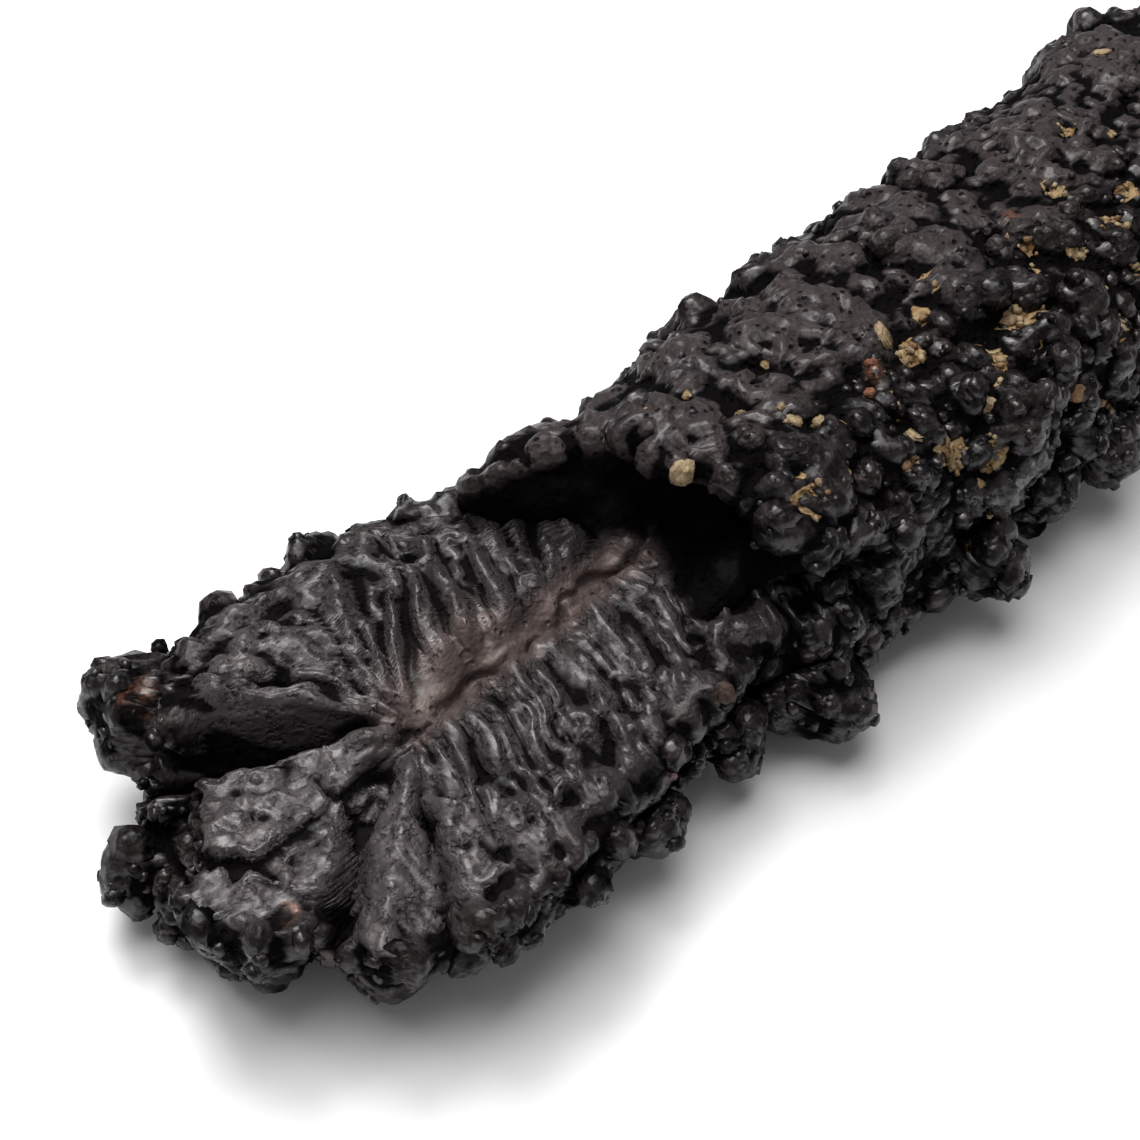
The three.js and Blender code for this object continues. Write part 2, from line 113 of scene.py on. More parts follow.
# The lumps that stand out of the outline: (x, y, z, radius).
LUMPS = (
    # lower left of the tip
    (-33.6, 3.4, 3, 1.5), (-34, 5.4, 3, 1.4), (-32.6, 6.4, 4.2, 1.2), (-31.6, 7, 3, 1.3),
    # the knob beyond the cleft
    (-30.9, 9.9, 5, 1.5), (-30.6, 11.2, 5, 1.1),
    # along the lower edge, from the tip
    (-24.2, -7.9, 4.8, 0.9), (-19.4, -6.3, 3.8, 1.2), (-16.4, -5.8, 3.8, 1.2),
    (-14.2, -6.5, 3.4, 1.3), (-9.2, -7.4, 2.8, 1.5), (-3.4, -6, 3, 1.4), (1.4, -7.7, 4, 1.5),
    (0.7, -8.8, 3.8, 0.8), (5.7, -7.3, 4.4, 1.5), (10.2, -7.2, 4.2, 1.3),
    # behind the broken face
    (-20.9, 10.6, 5.8, 1.2), (-26.2, 9.8, 6, 1.4), (-23.4, 9.8, 6, 1.2), (-17.4, 8.4, 5.6, 1.3),
    (-15.4, 7.4, 6.2, 1.2),
    # the lip of the scarp
    (-13.2, 5.2, 9, 1.9), (-11.5, 0.6, 10.3, 1.4), (-9.9, -1.6, 10.3, 1.5), (-8.9, -5, 8.8, 1.9),
    (-8, -5.8, 7, 1.8),
    # along the upper edge and on the flank of the stick
    (-1.4, 5.8, 8.8, 1.5), (2.6, 5.6, 9, 1.4), (7.6, 5.2, 9, 1.8), (12.2, 5.2, 9, 1.9),
    (20, 5.4, 8.8, 1.7), (29.4, 5.4, 8.8, 1.8), (3, -6.2, 8.8, 1.8),
)
# How far the lumps blend into the skin, and the skin into the broken face at its rim.
LUMP_BLEND, RIM_BLEND = 0.35, 0.5

# Patches of sand in the crevices: (x, y, z, radius).
SAND_PATCHES = (
    (7.8, -0.6, 12.4, 0.8), (5, -0.6, 12.4, 0.8), (3.8, -1.6, 12.4, 0.7), (1.5, -2.7, 12.2, 0.9),
    (-1.4, -4.1, 11.9, 0.8), (12.1, -3.5, 12.1, 0.9), (10.6, -2, 12.3, 0.8),
    (14.7, -0.6, 12.4, 0.9), (17, -3, 12.2, 0.8), (14.4, -4, 11.9, 0.8), (18.6, 1.7, 12.3, 0.7),
    (20.2, 0.2, 12.4, 0.8), (6.9, -4.6, 11.8, 1), (7.3, -5, 11.6, 0.8), (10.4, -7, 10.1, 0.8),
    (4.2, -4.9, 11.6, 0.9), (3.5, -6.2, 10.9, 0.8), (3, -7, 10, 0.8), (1.3, -7.5, 9.3, 0.7),
    (-0.3, -7, 10.1, 0.7), (-0.9, -6.6, 10.5, 0.6), (-2.7, -6.4, 10.7, 0.6),
    (-5.4, -1.9, 12.3, 0.7), (-4.9, -3.6, 12.1, 0.8), (-6.3, -4.9, 11.6, 0.9),
    (-8.1, -4.8, 11.7, 0.9), (-10.1, -5.9, 11, 0.5), (-7.3, 2.1, 12.3, 0.35),
    (-9.4, 2.7, 12.2, 0.35), (-6.6, -0.1, 12.4, 0.35), (-3.6, 1, 12.4, 0.35), (-33.4, -2, 4, 0.9),
)

# Rusty stains: (x, y, z, radius).
RUST_STAINS = (
    (-33, -2, 4.6, 1.2), (-31, 9.9, 6.4, 0.9), (-14.6, 7.2, 7.4, 0.7), (-18.1, -8, 5.6, 1),
    (-14.8, -7.7, 7.6, 1), (-1.2, -2.8, 12.3, 0.5), (11.6, -0.4, 12.4, 0.5),
)

# Single grains and flakes: (x, y, z, radius, tone). Tones run from pale 0 to rusty 1 and brown 1.6;
# the tones of the small grains end at PALEST_RUST, so that none of them is rusty.
LARGE_GRAINS = (
    (-10.6, -0.8, 12.4, 0.55, 0.1), (0.6, -1.6, 12.4, 0.5, 0.35), (-0.9, -2.6, 12.3, 0.4, 1),
    (-1.9, -3, 12.2, 0.4, 1), (7.2, -7.6, 9, 0.65, 0.8), (24.8, 3.9, 12, 0.4, 0.2),
    (-14.3, 7.2, 7.2, 0.5, 1), (-14.8, -7.7, 8.6, 0.42, 1.8), (-18.1, -8, 6.3, 0.42, 1.8),
    (2.4, -6.4, 10.6, 0.4, 0.2), (-2, -5.6, 11.2, 0.35, 0.3), (-5, -3, 12.2, 0.35, 0.4),
    (-33.3, -2, 4.4, 0.35, 0.75),
)
PALEST_RUST = 0.89

RIB_SLANT_PLUS, RIB_SLANT_MINUS = 0.55, 0.33  # slant of the ribs on either side of the midrib
FAN_RADIUS = 4.5  # turns angles round the fan into places along the midrib

# The surface is first found on a dense grid, then spaced out again, closer by 1 + these shares
# where it shows most: on top and on the -Y side, and near the tip.
DENSE_ROWS, DENSE_COLUMNS = 420, 640
FINER_ROUND, FINER_ALONG = 1.6, 0.8
SECTION_MIDDLE = (0.4, 2.0)  # y and z from which directions round the stone are taken
SHOWN = (-0.53, 0.848)  # y and z of the direction in which the columns are closest

# Metres. Area lights: (name, place, side, setting that holds the power).
LIGHTS = (
    ("overhead_light", (0, 0.08, 0.5), 0.42, "overhead_power"),
    ("window_light", (0.09, 0.22, 0.40), 0.2, "window_power"),
)
WORLD_STRENGTH = 0.25
FLOOR_HALF = 1.2  # metres
CAMERA_TARGET = (-14.0, 2.4, 6.5)  # millimetres
VIEW_WIDTH = 47.5 * MM  # width of the picture at the target
SENSOR = 36  # millimetres

# ---- curves and noise
# From here to the materials, lengths are in millimetres and angles in degrees, unless a sine or a
# cosine takes them. The whole number that sets one noise apart from the others is its seed.


def smooth(start, end, value):
    """Eased step: 0 before start, 1 after end, and t * t * (3 - 2 t) between them."""
    t = np.clip((value - start) / (end - start), 0, 1)
    return t * t * (3 - 2 * t)


def soft_min(a, b, blend):
    """The lower of a and b, rounded off over blend where they meet."""
    h = np.clip(0.5 + 0.5 * (b - a) / blend, 0, 1)
    return b * (1 - h) + a * h - blend * h * (1 - h)


def soft_max(a, b, blend):
    """The higher of a and b, rounded off over blend where they meet."""
    return -soft_min(-a, -b, blend)


def through(position, pairs):
    """An eased curve through (position, value) pairs, level at each of them."""
    places, values = np.array(pairs, float).T
    k = np.clip(np.searchsorted(places, position) - 1, 0, len(places) - 2)
    t = smooth(0, 1, (position - places[k]) / (places[k + 1] - places[k]))
    return values[k] + (values[k + 1] - values[k]) * t


def scatter(cell, seed):
    """A number from 0 to 1 for each lattice cell: its three indices are multiplied by large odd
    numbers, joined by exclusive or with the seed, and mixed by two rounds of shift and multiply."""
    i = cell.astype(np.int64).astype(np.uint32)
    h = i[..., 0] * np.uint32(0x8DA6B343) ^ i[..., 1] * np.uint32(0xD8163841)
    h = h ^ i[..., 2] * np.uint32(0xCB1AB31F) ^ np.uint32(seed * 0x165667B1 & 0xFFFFFFFF)
    h = (h ^ h >> np.uint32(15)) * np.uint32(0x2C1B3C6D)
    h = (h ^ h >> np.uint32(12)) * np.uint32(0x297A2D39)
    return (h ^ h >> np.uint32(15)) / 2.0**32


CORNERS = np.array(list(itertools.product((0, 1), repeat=3)))
NEIGHBOURS = np.array(list(itertools.product((-1, 0, 1), repeat=3)))


def noise(points, seed):
    """Smooth noise from -1 to 1: random numbers at lattice corners, blended by a quintic ease."""
    cell = np.floor(points)
    f = points - cell
    ease = f * f * f * (f * (f * 6 - 15) + 10)
    total = 0
    for corner in CORNERS:
        share = np.where(corner, ease, 1 - ease).prod(-1)
        total = total + share * scatter(cell + corner, seed)
    return total * 2 - 1


def two_octaves(points, seed):
    """Noise with a second layer at twice the pace and half the height, scaled back to -1 to 1."""
    return (noise(points, seed) + 0.5 * noise(2 * points, seed + 1)) / 1.5


def stack(*parts):
    """Coordinates side by side in a last axis."""
    return np.stack(np.broadcast_arrays(*parts), -1)


def line_noise(place, seed):
    """Noise that changes along one coordinate only."""
    return noise(stack(place, 0, 0), seed)


def bell(offset, width):
    """A bell curve, exp(-(offset / width) squared): 1 at offset 0."""
    return np.exp(-((offset / width) ** 2))


def near_cells(points, cell_size, seed):
    """The 27 lattice cells at and round each point, each with the way to a random spot in it."""
    place = points / cell_size
    cell = np.floor(place)
    for step in NEIGHBOURS:
        at = cell + step
        spot = stack(*(scatter(at, seed + s) for s in range(3))) - 0.5
        yield at, at + 0.5 + 0.8 * spot - place


def domes(points, cell_size, seed, fill=1.0, lowest=0.3):
    """Round domes, one in each lattice cell: over each point the highest of the near domes, whose
    profile is sqrt(1 - distance squared / radius squared), each with its own radius and height."""
    highest = np.zeros(points.shape[:-1])
    for cell, offset in near_cells(points, cell_size, seed):
        radius = fill * (0.5 + 0.35 * scatter(cell, seed + 3))
        rise = np.sqrt(np.clip(1 - (offset * offset).sum(-1) / (radius * radius), 0, None))
        highest = np.maximum(highest, (lowest + (1 - lowest) * scatter(cell, seed)) * rise)
    return highest


def plates(points, cell_size, seed):
    """Tilted plates: each point takes the height of a plane through its nearest feature point. The
    plane's slope is random, so plates meet in sharp steps."""
    nearest = np.full(points.shape[:-1], np.inf)
    height = np.zeros(points.shape[:-1])
    for cell, offset in near_cells(points, cell_size, seed):
        slope = stack(*(scatter(cell, seed + s) for s in range(3, 6))) - 0.5
        distance = (offset * offset).sum(-1)
        closer = distance < nearest
        nearest = np.where(closer, distance, nearest)
        height = np.where(closer, (offset * slope).sum(-1), height)
    return 2 * height


# ---- the bare surface


def round_fan(x, y):
    """Angle round the fan in degrees, from -X towards +Y, and distance from its centre."""
    ahead, aside = FAN_X - x, y - FAN_Y
    return np.degrees(np.arctan2(aside, ahead)), np.hypot(ahead, aside)


def face_height(x, y):
    """Height of the broken face: a slightly crowned plane that droops to the tip, less a wedge for
    the cleft and bell curves for two grooves along rays, a pit and the midrib's valley."""
    ahead, aside = FAN_X - x, y - FAN_Y
    angle, reach = round_fan(x, y)

    def arc(degrees):
        return np.radians(angle - degrees) * reach

    z = FACE_Z + 0.3 * (aside / 9) - 0.55 * (aside / 9) ** 2
    z = z - 0.9 * smooth(1, 11, ahead) * (angle < 60)
    z = z + 0.35 * smooth(40, 50, angle) * smooth(1, 6, reach)
    cleft = smooth(*CLEFT[:2], angle) * (1 - smooth(*CLEFT[2:], angle))
    z = z - 3.2 * cleft * smooth(0.6, 5, reach)
    bend = -9 - 18 * smooth(1, 9, reach)
    z = z - 1.2 * bell(arc(bend), 0.5) * smooth(0.8, 3.5, reach) * (1 + 0.9 * smooth(7, 10, reach))
    leaflet = smooth(bend, bend - 5, angle) * (1 - smooth(-52, -57, angle)) * smooth(1, 5, reach)
    z = z - leaflet * (0.55 - 0.5 * bell(arc(LEAFLET), 1.1))
    z = z - 1.0 * bell(arc(-46 - 9 * smooth(2, 6, reach)), 0.4) * smooth(1.2, 4, reach)
    z = z - 0.8 * bell(x + 25, 0.8) * bell(y - 0.2, 0.9)
    midrib = bell(aside - 0.25 * np.sin(0.9 * x), 0.7) * (1 + 0.5 * np.sin(1.7 * x))
    return z - 0.5 * smooth(-25.5, -23.5, x) * midrib


def spine_y(x):
    """The spine shifts from the fan's centre to the middle of the stick."""
    return FAN_Y * (1 - smooth(-22, -6, x))


def foot_share(base, up):
    """Narrows the section below the rim: base at the foot, easing to 1 at the rim's height."""
    return base + (1 - base) * smooth(0.05, 0.36, up)


def half_width(x, side, under=1):
    """Half width of the stick on the side that a ray goes to."""
    return np.where(side >= 0, through(x, HALF_WIDTH_PLUS), through(x, HALF_WIDTH_MINUS) * under)


def half_height(x, up):
    """Height of the stick's skin over or under its spine."""
    spine = through(x, SPINE_Z)
    return np.where(up >= 0, through(x, TOP_Z) - spine, spine - UNDERSIDE_Z)


def superellipse(power, *steps):
    """Length of a ray to its skin: the sum of its steps along the axes, each over the half size
    there and to a power, to -1 / power."""
    return sum(np.abs(step) ** power for step in steps) ** (-1 / power)


def section_radius(x, side, up):
    """Distance from the spine to the skin across the stick."""
    under = foot_share(1 - (1 - FOOT_SHARE[0][1]) * smooth(-9.5, -14, x), up)
    return superellipse(SECTION_POWER, side / half_width(x, side, under), up / half_height(x, up))


def scarp_rows(share, side, up):
    """Where grid lines cross the scarp: rows bunch on it and swing back under the lip as a sine, so
    that it overhangs. Below the scarp's foot the rows run evenly."""
    spine = through(SCARP_X, SPINE_Z)
    skin = section_radius(np.full_like(side, SCARP_X), side, up)
    below_face = FACE_Z - 0.3 - spine
    face = np.where(up > FLATTEST, below_face / np.maximum(up, FLATTEST), MISSED)
    steep = smooth(0.2, 2.5, np.maximum(0, skin - face))
    foot_y = spine_y(SCARP_X) + np.minimum(face, skin) * side
    lip_y = spine_y(SCARP_X) + skin * side
    foot = through(foot_y, FOOT_X)
    lip = through(lip_y, LIP_X)
    hollow = through((foot_y + lip_y) / 2, HOLLOW_DEPTH)
    start, end = ((at - TIP_SHARE) / (BACK_START - TIP_SHARE) for at in (SCARP_START, SCARP_END))
    climb = np.clip((share - start) / (end - start), 0, 1)
    x = foot + (lip - foot) * smooth(0, 1, climb) + hollow * np.sin(np.pi * climb)
    x = np.where(share < start, FAN_X + (foot - FAN_X) * share / start, x)
    x = np.where(share > end, lip + (BACK_X - lip) * (share - end) / (1 - end), x)
    plain = FAN_X + (BACK_X - FAN_X) * share
    return plain + (x - plain) * steep, climb + 0 * side, steep


def past_lumps(start, ray, skin):
    """Pushes the skin out to where each ray leaves the spheres in LUMPS, by a soft maximum."""
    for x, y, z, radius in LUMPS:
        offset = np.array([x, y, z]) - start
        nearest = (offset * ray).sum(-1)
        inside = nearest**2 - (offset**2).sum(-1) + radius**2
        met = (inside > 0) & (nearest > 0)
        exit_at = nearest + np.sqrt(np.maximum(inside, 0))
        skin = np.where(met, soft_max(skin, exit_at, LUMP_BLEND), skin)
    return skin


def face_along_rays(start, ray):
    """How far along each ray it comes up through the broken face, by even steps and a straight line
    between the last two. Rays that miss it get MISSED."""
    met = np.full(ray.shape[:-1], MISSED)
    pick = (ray[..., 2] > FLATTEST) & (start[..., 0] < FACE_END_X)
    origin, direction = start[pick], ray[pick]

    def height_over_face(distance):
        x, y, z = (origin + direction * distance).T
        return z - face_height(x, y)

    found = np.full(len(origin), MISSED)
    stride, longest = 0.3, 14
    before = height_over_face(stride)
    for distance in np.arange(2 * stride, longest, stride):
        gap = height_over_face(distance)
        back = stride * np.clip(gap / np.maximum(gap - before, 1e-6), 0, 1)
        found = np.where((gap > 0) & (found == MISSED), distance - back, found)
        before = gap
    met[pick] = found
    return met


def bare_surface(rows, columns):
    """Points of the surface without knobs. u runs from the tip to the far end, v goes round from
    underneath. Each point is where a ray from the spine meets the lower of the skin and the face.
    Returns positions with two masks: how far the broken face holds, and the scarp's wall."""
    u = np.linspace(0, 1, rows)[:, None]
    turn = np.linspace(0, 2 * np.pi, columns, endpoint=False)[None, :] - np.pi / 2
    side, up = np.cos(turn), np.sin(turn)
    at_tip, at_back = u < TIP_SHARE, u > BACK_START
    share = np.clip((u - TIP_SHARE) / (BACK_START - TIP_SHARE), 0, 1)
    x, climb, steep = scarp_rows(share, side, up)
    x = np.where(at_tip, FAN_X, np.where(at_back, BACK_X, x))
    lean = np.where(at_back, (1 - u) / (1 - BACK_START), 1)
    lean = np.where(at_tip, u / TIP_SHARE, lean) * np.pi / 2
    ray = stack(np.where(at_tip, -1, 1) * np.cos(lean), np.sin(lean) * side, np.sin(lean) * up)
    start = stack(x, spine_y(x), through(x, SPINE_Z))

    ahead, aside, rise = np.moveaxis(ray, -1, 0)
    angle = np.degrees(np.arctan2(aside, np.abs(ahead) + 1e-9))
    rim = through(angle, TIP_REACH) * foot_share(through(angle, FOOT_SHARE), rise)
    height = rise / half_height(x, rise)
    tip = superellipse(SECTION_POWER, np.hypot(ahead, aside) / rim, height)
    back = superellipse(BACK_POWER, ahead / BACK_LENGTH, aside / half_width(x, side), height)
    skin = np.where(at_tip, tip, np.where(at_back, back, section_radius(x, side, up)))
    skin = past_lumps(start, ray, skin)

    cut = face_along_rays(start, ray)
    past = np.where(at_tip, 0, np.where(at_back, 1, climb))
    reach = soft_min(cut, skin, RIM_BLEND) * (1 - past) + skin * past
    point = start + ray * reach[..., None]
    face = smooth(-0.2, 0.8, skin - cut) * (1 - smooth(0, 0.15, past))
    wall = smooth(0.02, 0.15, past) * (1 - smooth(0.85, 1, past)) * steep
    return np.concatenate([point, stack(face, wall)], -1)


# ---- an even grid


def blurred(values, radius):
    """Two box averages over the grid, by running sums; the columns wrap round."""
    for _ in range(2):
        for axis, mode in ((0, "edge"), (1, "wrap")):
            pad = [(0, 0), (0, 0)]
            pad[axis] = (radius + 1, radius)
            sums = np.cumsum(np.pad(values, pad, mode=mode), axis)
            count = values.shape[axis]
            high = np.take(sums, np.arange(2 * radius + 1, 2 * radius + 1 + count), axis)
            values = (high - np.take(sums, np.arange(count), axis)) / (2 * radius + 1)
    return values


def spaced(lines, weights, count, closed):
    """Each line resampled so that the steps between its points weigh the same."""
    if closed:
        lines = np.concatenate([lines, lines[:, :1]], 1)
    sums = np.concatenate([np.zeros((len(lines), 1)), np.cumsum(weights, 1)], 1)
    goals = np.linspace(0, 1, count + 1)[:-1] if closed else np.linspace(0, 1, count)
    result = np.empty((len(lines), count, lines.shape[2]))
    for n, (line, total) in enumerate(zip(lines, sums)):
        place = np.interp(goals * total[-1], total, np.arange(len(total)))
        k = np.minimum(place.astype(int), len(line) - 2)
        f = (place - k)[:, None]
        result[n] = line[k] * (1 - f) + line[k + 1] * f
    return result


def step_weights(grid, axis, radius, finer):
    """Blurred distances between neighbours along an axis, times 1 + finer."""
    after = np.roll(grid, -1, 1) if axis else grid[1:]
    before = grid if axis else grid[:-1]
    steps = np.linalg.norm((after - before)[..., :3], axis=-1)
    return blurred(steps, radius) * (1 + finer) + 1e-5


def spaced_round(grid, count):
    """Columns spaced evenly, but closer where they face the direction SHOWN."""
    away = grid[..., 1:3] - SECTION_MIDDLE
    away = away / (np.linalg.norm(away, axis=-1, keepdims=True) + 1e-9)
    finer = FINER_ROUND * smooth(-0.35, 0.35, away @ SHOWN)
    return spaced(grid, step_weights(grid, 1, 10, finer), count, True)


def spaced_along(grid, count):
    """Rows spaced evenly, but closer near the tip."""
    weights = step_weights(grid, 0, 8, FINER_ALONG * smooth(4, -26, grid[1:, :, 0]))
    lines = spaced(np.swapaxes(grid, 0, 1), np.swapaxes(weights, 0, 1), count, False)
    return np.swapaxes(lines, 0, 1)


def grid_normals(points):
    """Unit normals: cross products of the differences between neighbours both ways round. Each pole
    has the mean of the row beside it."""
    ends = points[1:2] - points[:1], points[-1:] - points[-2:-1]
    along = np.concatenate([ends[0], points[2:] - points[:-2], ends[1]])
    round_ = np.roll(points, -1, 1) - np.roll(points, 1, 1)
    normals = np.cross(round_, along)
    normals[0], normals[-1] = normals[1].mean(0), normals[-2].mean(0)
    return normals / (np.linalg.norm(normals, axis=-1, keepdims=True) + 1e-12)


# ---- knobs and ribs


def rib_place(x, y):
    """Where a point's rib starts along the midrib, how far out the point lies, and on which side.
    Past the midrib's end the place is an angle round the fan times its radius."""
    aside = y - FAN_Y
    along = x - FAN_X - np.where(aside > 0, RIB_SLANT_PLUS, RIB_SLANT_MINUS) * aside
    out = np.abs(aside)
    fanned = -FAN_RADIUS * np.arctan2(-along, out)
    place = np.where(along > 0, along, fanned)
    return place, np.where(along > 0, out, np.hypot(along, out)), np.where(aside >= 0, 1.0, -1.0)


def wandering(points, cell, reach, seed):
    """Points moved by smooth noise, so that what is laid on them wanders."""
    shift = [two_octaves(points / cell, seed + 10 * axis) for axis in range(3)]
    return points + reach * np.stack(shift, -1)


def worn_top(points):
    """Where the stick is worn: a strip along its top, wider on the +Y side."""
    strip = smooth(-3.0, -0.5, points[..., 1]) * smooth(6.8, 5.2, points[..., 1])
    return smooth(7.0, 10.0, points[..., 2]) * strip


def skin_relief(points, sizes):
    """Height of the knobs over the bare skin: four layers of domes, each finer and lower than the
    last, chipped into plates. On top they're worn down to a soft ceiling, with dents and pits."""
    loose = wandering(points, 3.0, 0.45, 11)
    tight = wandering(points, 0.8, 0.22, 12)
    rough = domes(loose, 4.2, 101, 0.95, 0.3) + 0.95 * domes(loose, 2.1, 201, 0.95, 0.15) - 0.4
    common = sizes.middle_height / MM * domes(tight, sizes.middle_size / MM, 301, 1.0, 0.1)
    small = sizes.small_height / MM * domes(tight, sizes.small_size / MM, 401, 1.0, 0.2)
    chips = 0.12 * plates(tight, 0.9, 631)
    wear = worn_top(points)
    dents = 0.16 * (1 - 2 * np.abs(noise(tight, 611))) - 0.35 * domes(tight, 0.9, 621, 0.55, 0.2)
    worn = soft_min(rough, 0.7, 0.5) + 0.5 * common + dents + chips
    return (rough + common + small + chips) * (1 - wear) + worn * wear


def strips(place, out, width, length, seed):
    """Rounded strips that run outwards and branch, from 0 in the creases between them to 1 on top:
    noise stretched along them, its size raised to a power below 1 so that the tops are broad."""
    layer = noise(stack(place / width, out / length, 0.4), seed)
    return np.minimum(1, 2.3 * np.abs(layer)) ** 0.7


def bars(place, out, width, length, seed, power=3.0):
    """Rounded bars side by side across a line, from 0 in the slots between them to about 1 on top.
    The profile is 1 - |2t - 1| to a power over each bar's width, sharper for a lower power. Height
    and tilt change from bar to bar, and the height also wanders along a bar."""
    warped = place / width + 0.9 * noise(stack(place / (2.6 * width), out / length, seed), seed)
    number = np.floor(warped)
    t = warped - number
    own = scatter(stack(number, 0, 0), seed + 1)
    along = noise(stack(number * 5.3, 2 * out / length, 0), seed + 2)
    height = 0.6 + 0.3 * own + 0.5 * along
    return height * (1 - np.abs(2 * t - 1) ** power) + (own - 0.5) * (t - 0.5)


def face_relief(points, sizes):
    """Height of the ribs over the broken face: bars and branching strips that run outwards, shorter
    and thicker on the -Y side, crumpled by finer strips and pits. A crack wanders along the midrib,
    and the cleft's floor is plain."""
    x, y, _ = np.moveaxis(points, -1, 0)
    place, out, side = rib_place(x, y)
    plus = side > 0
    wander = two_octaves(stack(x / 2.2, y / 2.2, side * 3), 41)
    place = place + np.where(plus, 0.35, 0.5) * wander + 60 * plus
    angle, reach = round_fan(x, y)
    warped = wandering(points, 1.0, 0.3, 13)

    width, depth = sizes.rib_width / MM, sizes.rib_height / MM
    minus_side = 0.4 * bars(place, out, width, 3.5, 51)
    minus_side += 0.75 * strips(place, out, 0.85 * width, 2.6, 55)
    plus_side = 0.75 * bars(place, out, 1.2 * width, 7.0, 61, 1.4)
    plus_side += 0.4 * bars(place, out, 0.55 * width, 4.0, 65, 1.6)
    plus_side += 0.35 * (strips(place, out, 0.9 * width, 3.5, 69) - 0.5)
    starts = np.where(plus, 0.9 + 0.8 * line_noise(place / 1.4, 43), 0.1)
    grown = smooth(starts, np.where(plus, starts + 1.2, 0.9), out)
    height = depth * np.where(plus, plus_side, minus_side) * grown

    fine_width = sizes.fine_rib_width / MM
    fine = strips(place + 0.1 * noise(points / 0.6, 71), out, fine_width, 1.5, 81)
    crumple = strips(warped[..., 0], warped[..., 1], 1.0, 1.3, 85)
    pits = domes(warped, 1.1, 91, 0.5, 0.2)
    beads = domes(warped, 1.0, 201, 0.8, 0.1)
    height += sizes.fine_rib_height / MM * fine * (0.2 + 0.8 * grown)
    crumpled = smooth(np.where(plus, 6.0, 2.5), np.where(plus, 9.5, 6.0), out)
    height = height + 0.3 * crumple * crumpled + 0.35 * two_octaves(points / 1.9, 95) * crumpled
    height = height - 0.5 * pits * smooth(3.0, 6.0, out) + 0.2 * beads * smooth(6.8, 9.0, out)
    crack = y - FAN_Y - 0.5 * line_noise(x / 1.4, 111) - 0.15 * line_noise(x / 0.5, 113)
    height -= 0.4 * bell(crack, 0.2) * smooth(-25.0, -23.5, x)

    lobes = smooth(0.5, 3.0, FAN_X - x) * smooth(33, 28, angle)
    plain = lobe_relief(warped, angle, reach, fine, crumple, pits, beads)
    height = height * (1 - lobes) + plain * smooth(0.5, 2.5, reach) * lobes
    start, *_, end = CLEFT
    cleft = smooth(start, start + 3, angle) * smooth(end + 2, end, angle) * smooth(1.0, 2.5, reach)
    return height * (1 - 0.9 * cleft)


def lobe_relief(warped, angle, reach, fine, crumple, pits, beads):
    """Height over the lobes at the tip: tilted plates, low wrinkles, pits, beads at the rim, and a
    midrib with slanting veins on the leaflet."""
    leaflet = smooth(-21, -25, angle) * smooth(-55, -52, angle)
    veins = bars(reach - 0.018 * np.abs(angle - LEAFLET) * reach, 0 * reach, 0.8, 4.0, 101)
    middle = bell(np.radians(angle - LEAFLET) * reach, 0.25)
    wrinkled = (0.1 + 0.1 * smooth(6.0, 9.0, reach)) * smooth(2.0, 6.0, reach)
    plain = 0.75 * plates(warped, 3.2, 641) + 0.22 * plates(warped, 1.5, 651)
    plain = plain + wrinkled * crumple + 0.1 * fine - 0.25 * pits * smooth(4.0, 8.0, reach)
    plain = plain * (1 - 0.7 * leaflet) + (0.16 * veins + 0.18 * middle) * leaflet
    return plain + 0.15 * beads * smooth(8.5, 10.5, reach)


def wall_relief(points):
    """Height over the scarp's wall: blocky domes of two sizes."""
    loose = wandering(points, 3.0, 0.45, 11)
    return 0.6 * domes(loose, 4.2, 101, 0.95, 0.3) + 0.6 * domes(loose, 2.1, 201, 1.0, 0.25) - 0.2


def stone_surface(sizes):
    """The whole surface: the bare surface on an even grid, with its relief raised along the normals
    and worn flat at the rest plane. Returns positions, and masks from 0 to 1, on the grid."""
    dense = bare_surface(DENSE_ROWS, DENSE_COLUMNS)
    grid = spaced_round(dense, sizes.columns)
    grid = spaced_along(grid, sizes.rows)
    grid = spaced_round(grid, sizes.columns)
    base, face, wall = grid[..., :3], grid[..., 3], grid[..., 4]
    soft = np.stack([blurred(base[..., axis], 1) for axis in range(3)], -1)
    normals = grid_normals(soft)
    height = skin_relief(base, sizes) * (1 - face) + face_relief(base, sizes) * face
    height = height * (1 - wall) + wall_relief(base) * wall
    points = base + normals * height[..., None]
    points[0], points[-1] = points[0].mean(0), points[-1].mean(0)
    points = np.clip(points, BOX_LOW, BOX_HIGH)
    return points, surface_masks(base, points, height, face, wall)


def surface_masks(base, points, height, face, wall):
    """Masks for the material, by name. Hollows are where the height lies under its own average, and
    on the broken face also where the face itself is sunken; the material paints shade into them."""
    x, y, z = np.moveaxis(base, -1, 0)
    place, out, side = rib_place(x, y)
    # Painted shade: grooves in the broken face and its low parts count as hollows, so they are
    # painted darker.
    groove = 0.55 * (blurred(z, 5) - z) * smooth(0.8, 2.0, out)
    sunken = 0.3 * smooth(5.4, 4.2, z)
    hollow = blurred(height, 3) - height + 0.35 * (blurred(height, 9) - height)
    hollow = hollow + face * (groove + sunken)
    warm_reach = np.where(side > 0, 3.4 - 2.0 * smooth(3.5, 6.0, place), 1.6)
    return {
        "face": face,
        "wall": wall,
        "hollow": np.clip(0.5 + hollow * 1.6, 0, 1),
        "worn": worn_top(base) * (1 - face),
        "sand": sand_amount(points, hollow, face),
        "warmth": face * smooth(warm_reach, 0.4, out) * smooth(-9.5, -1.0, place),
        "rust": ragged_patches(points, RUST_STAINS),
        # Where the lobes at the tip are painted lighter, as painted light.
        "lobes": face * smooth(-23.0, -27.0, x),
    }


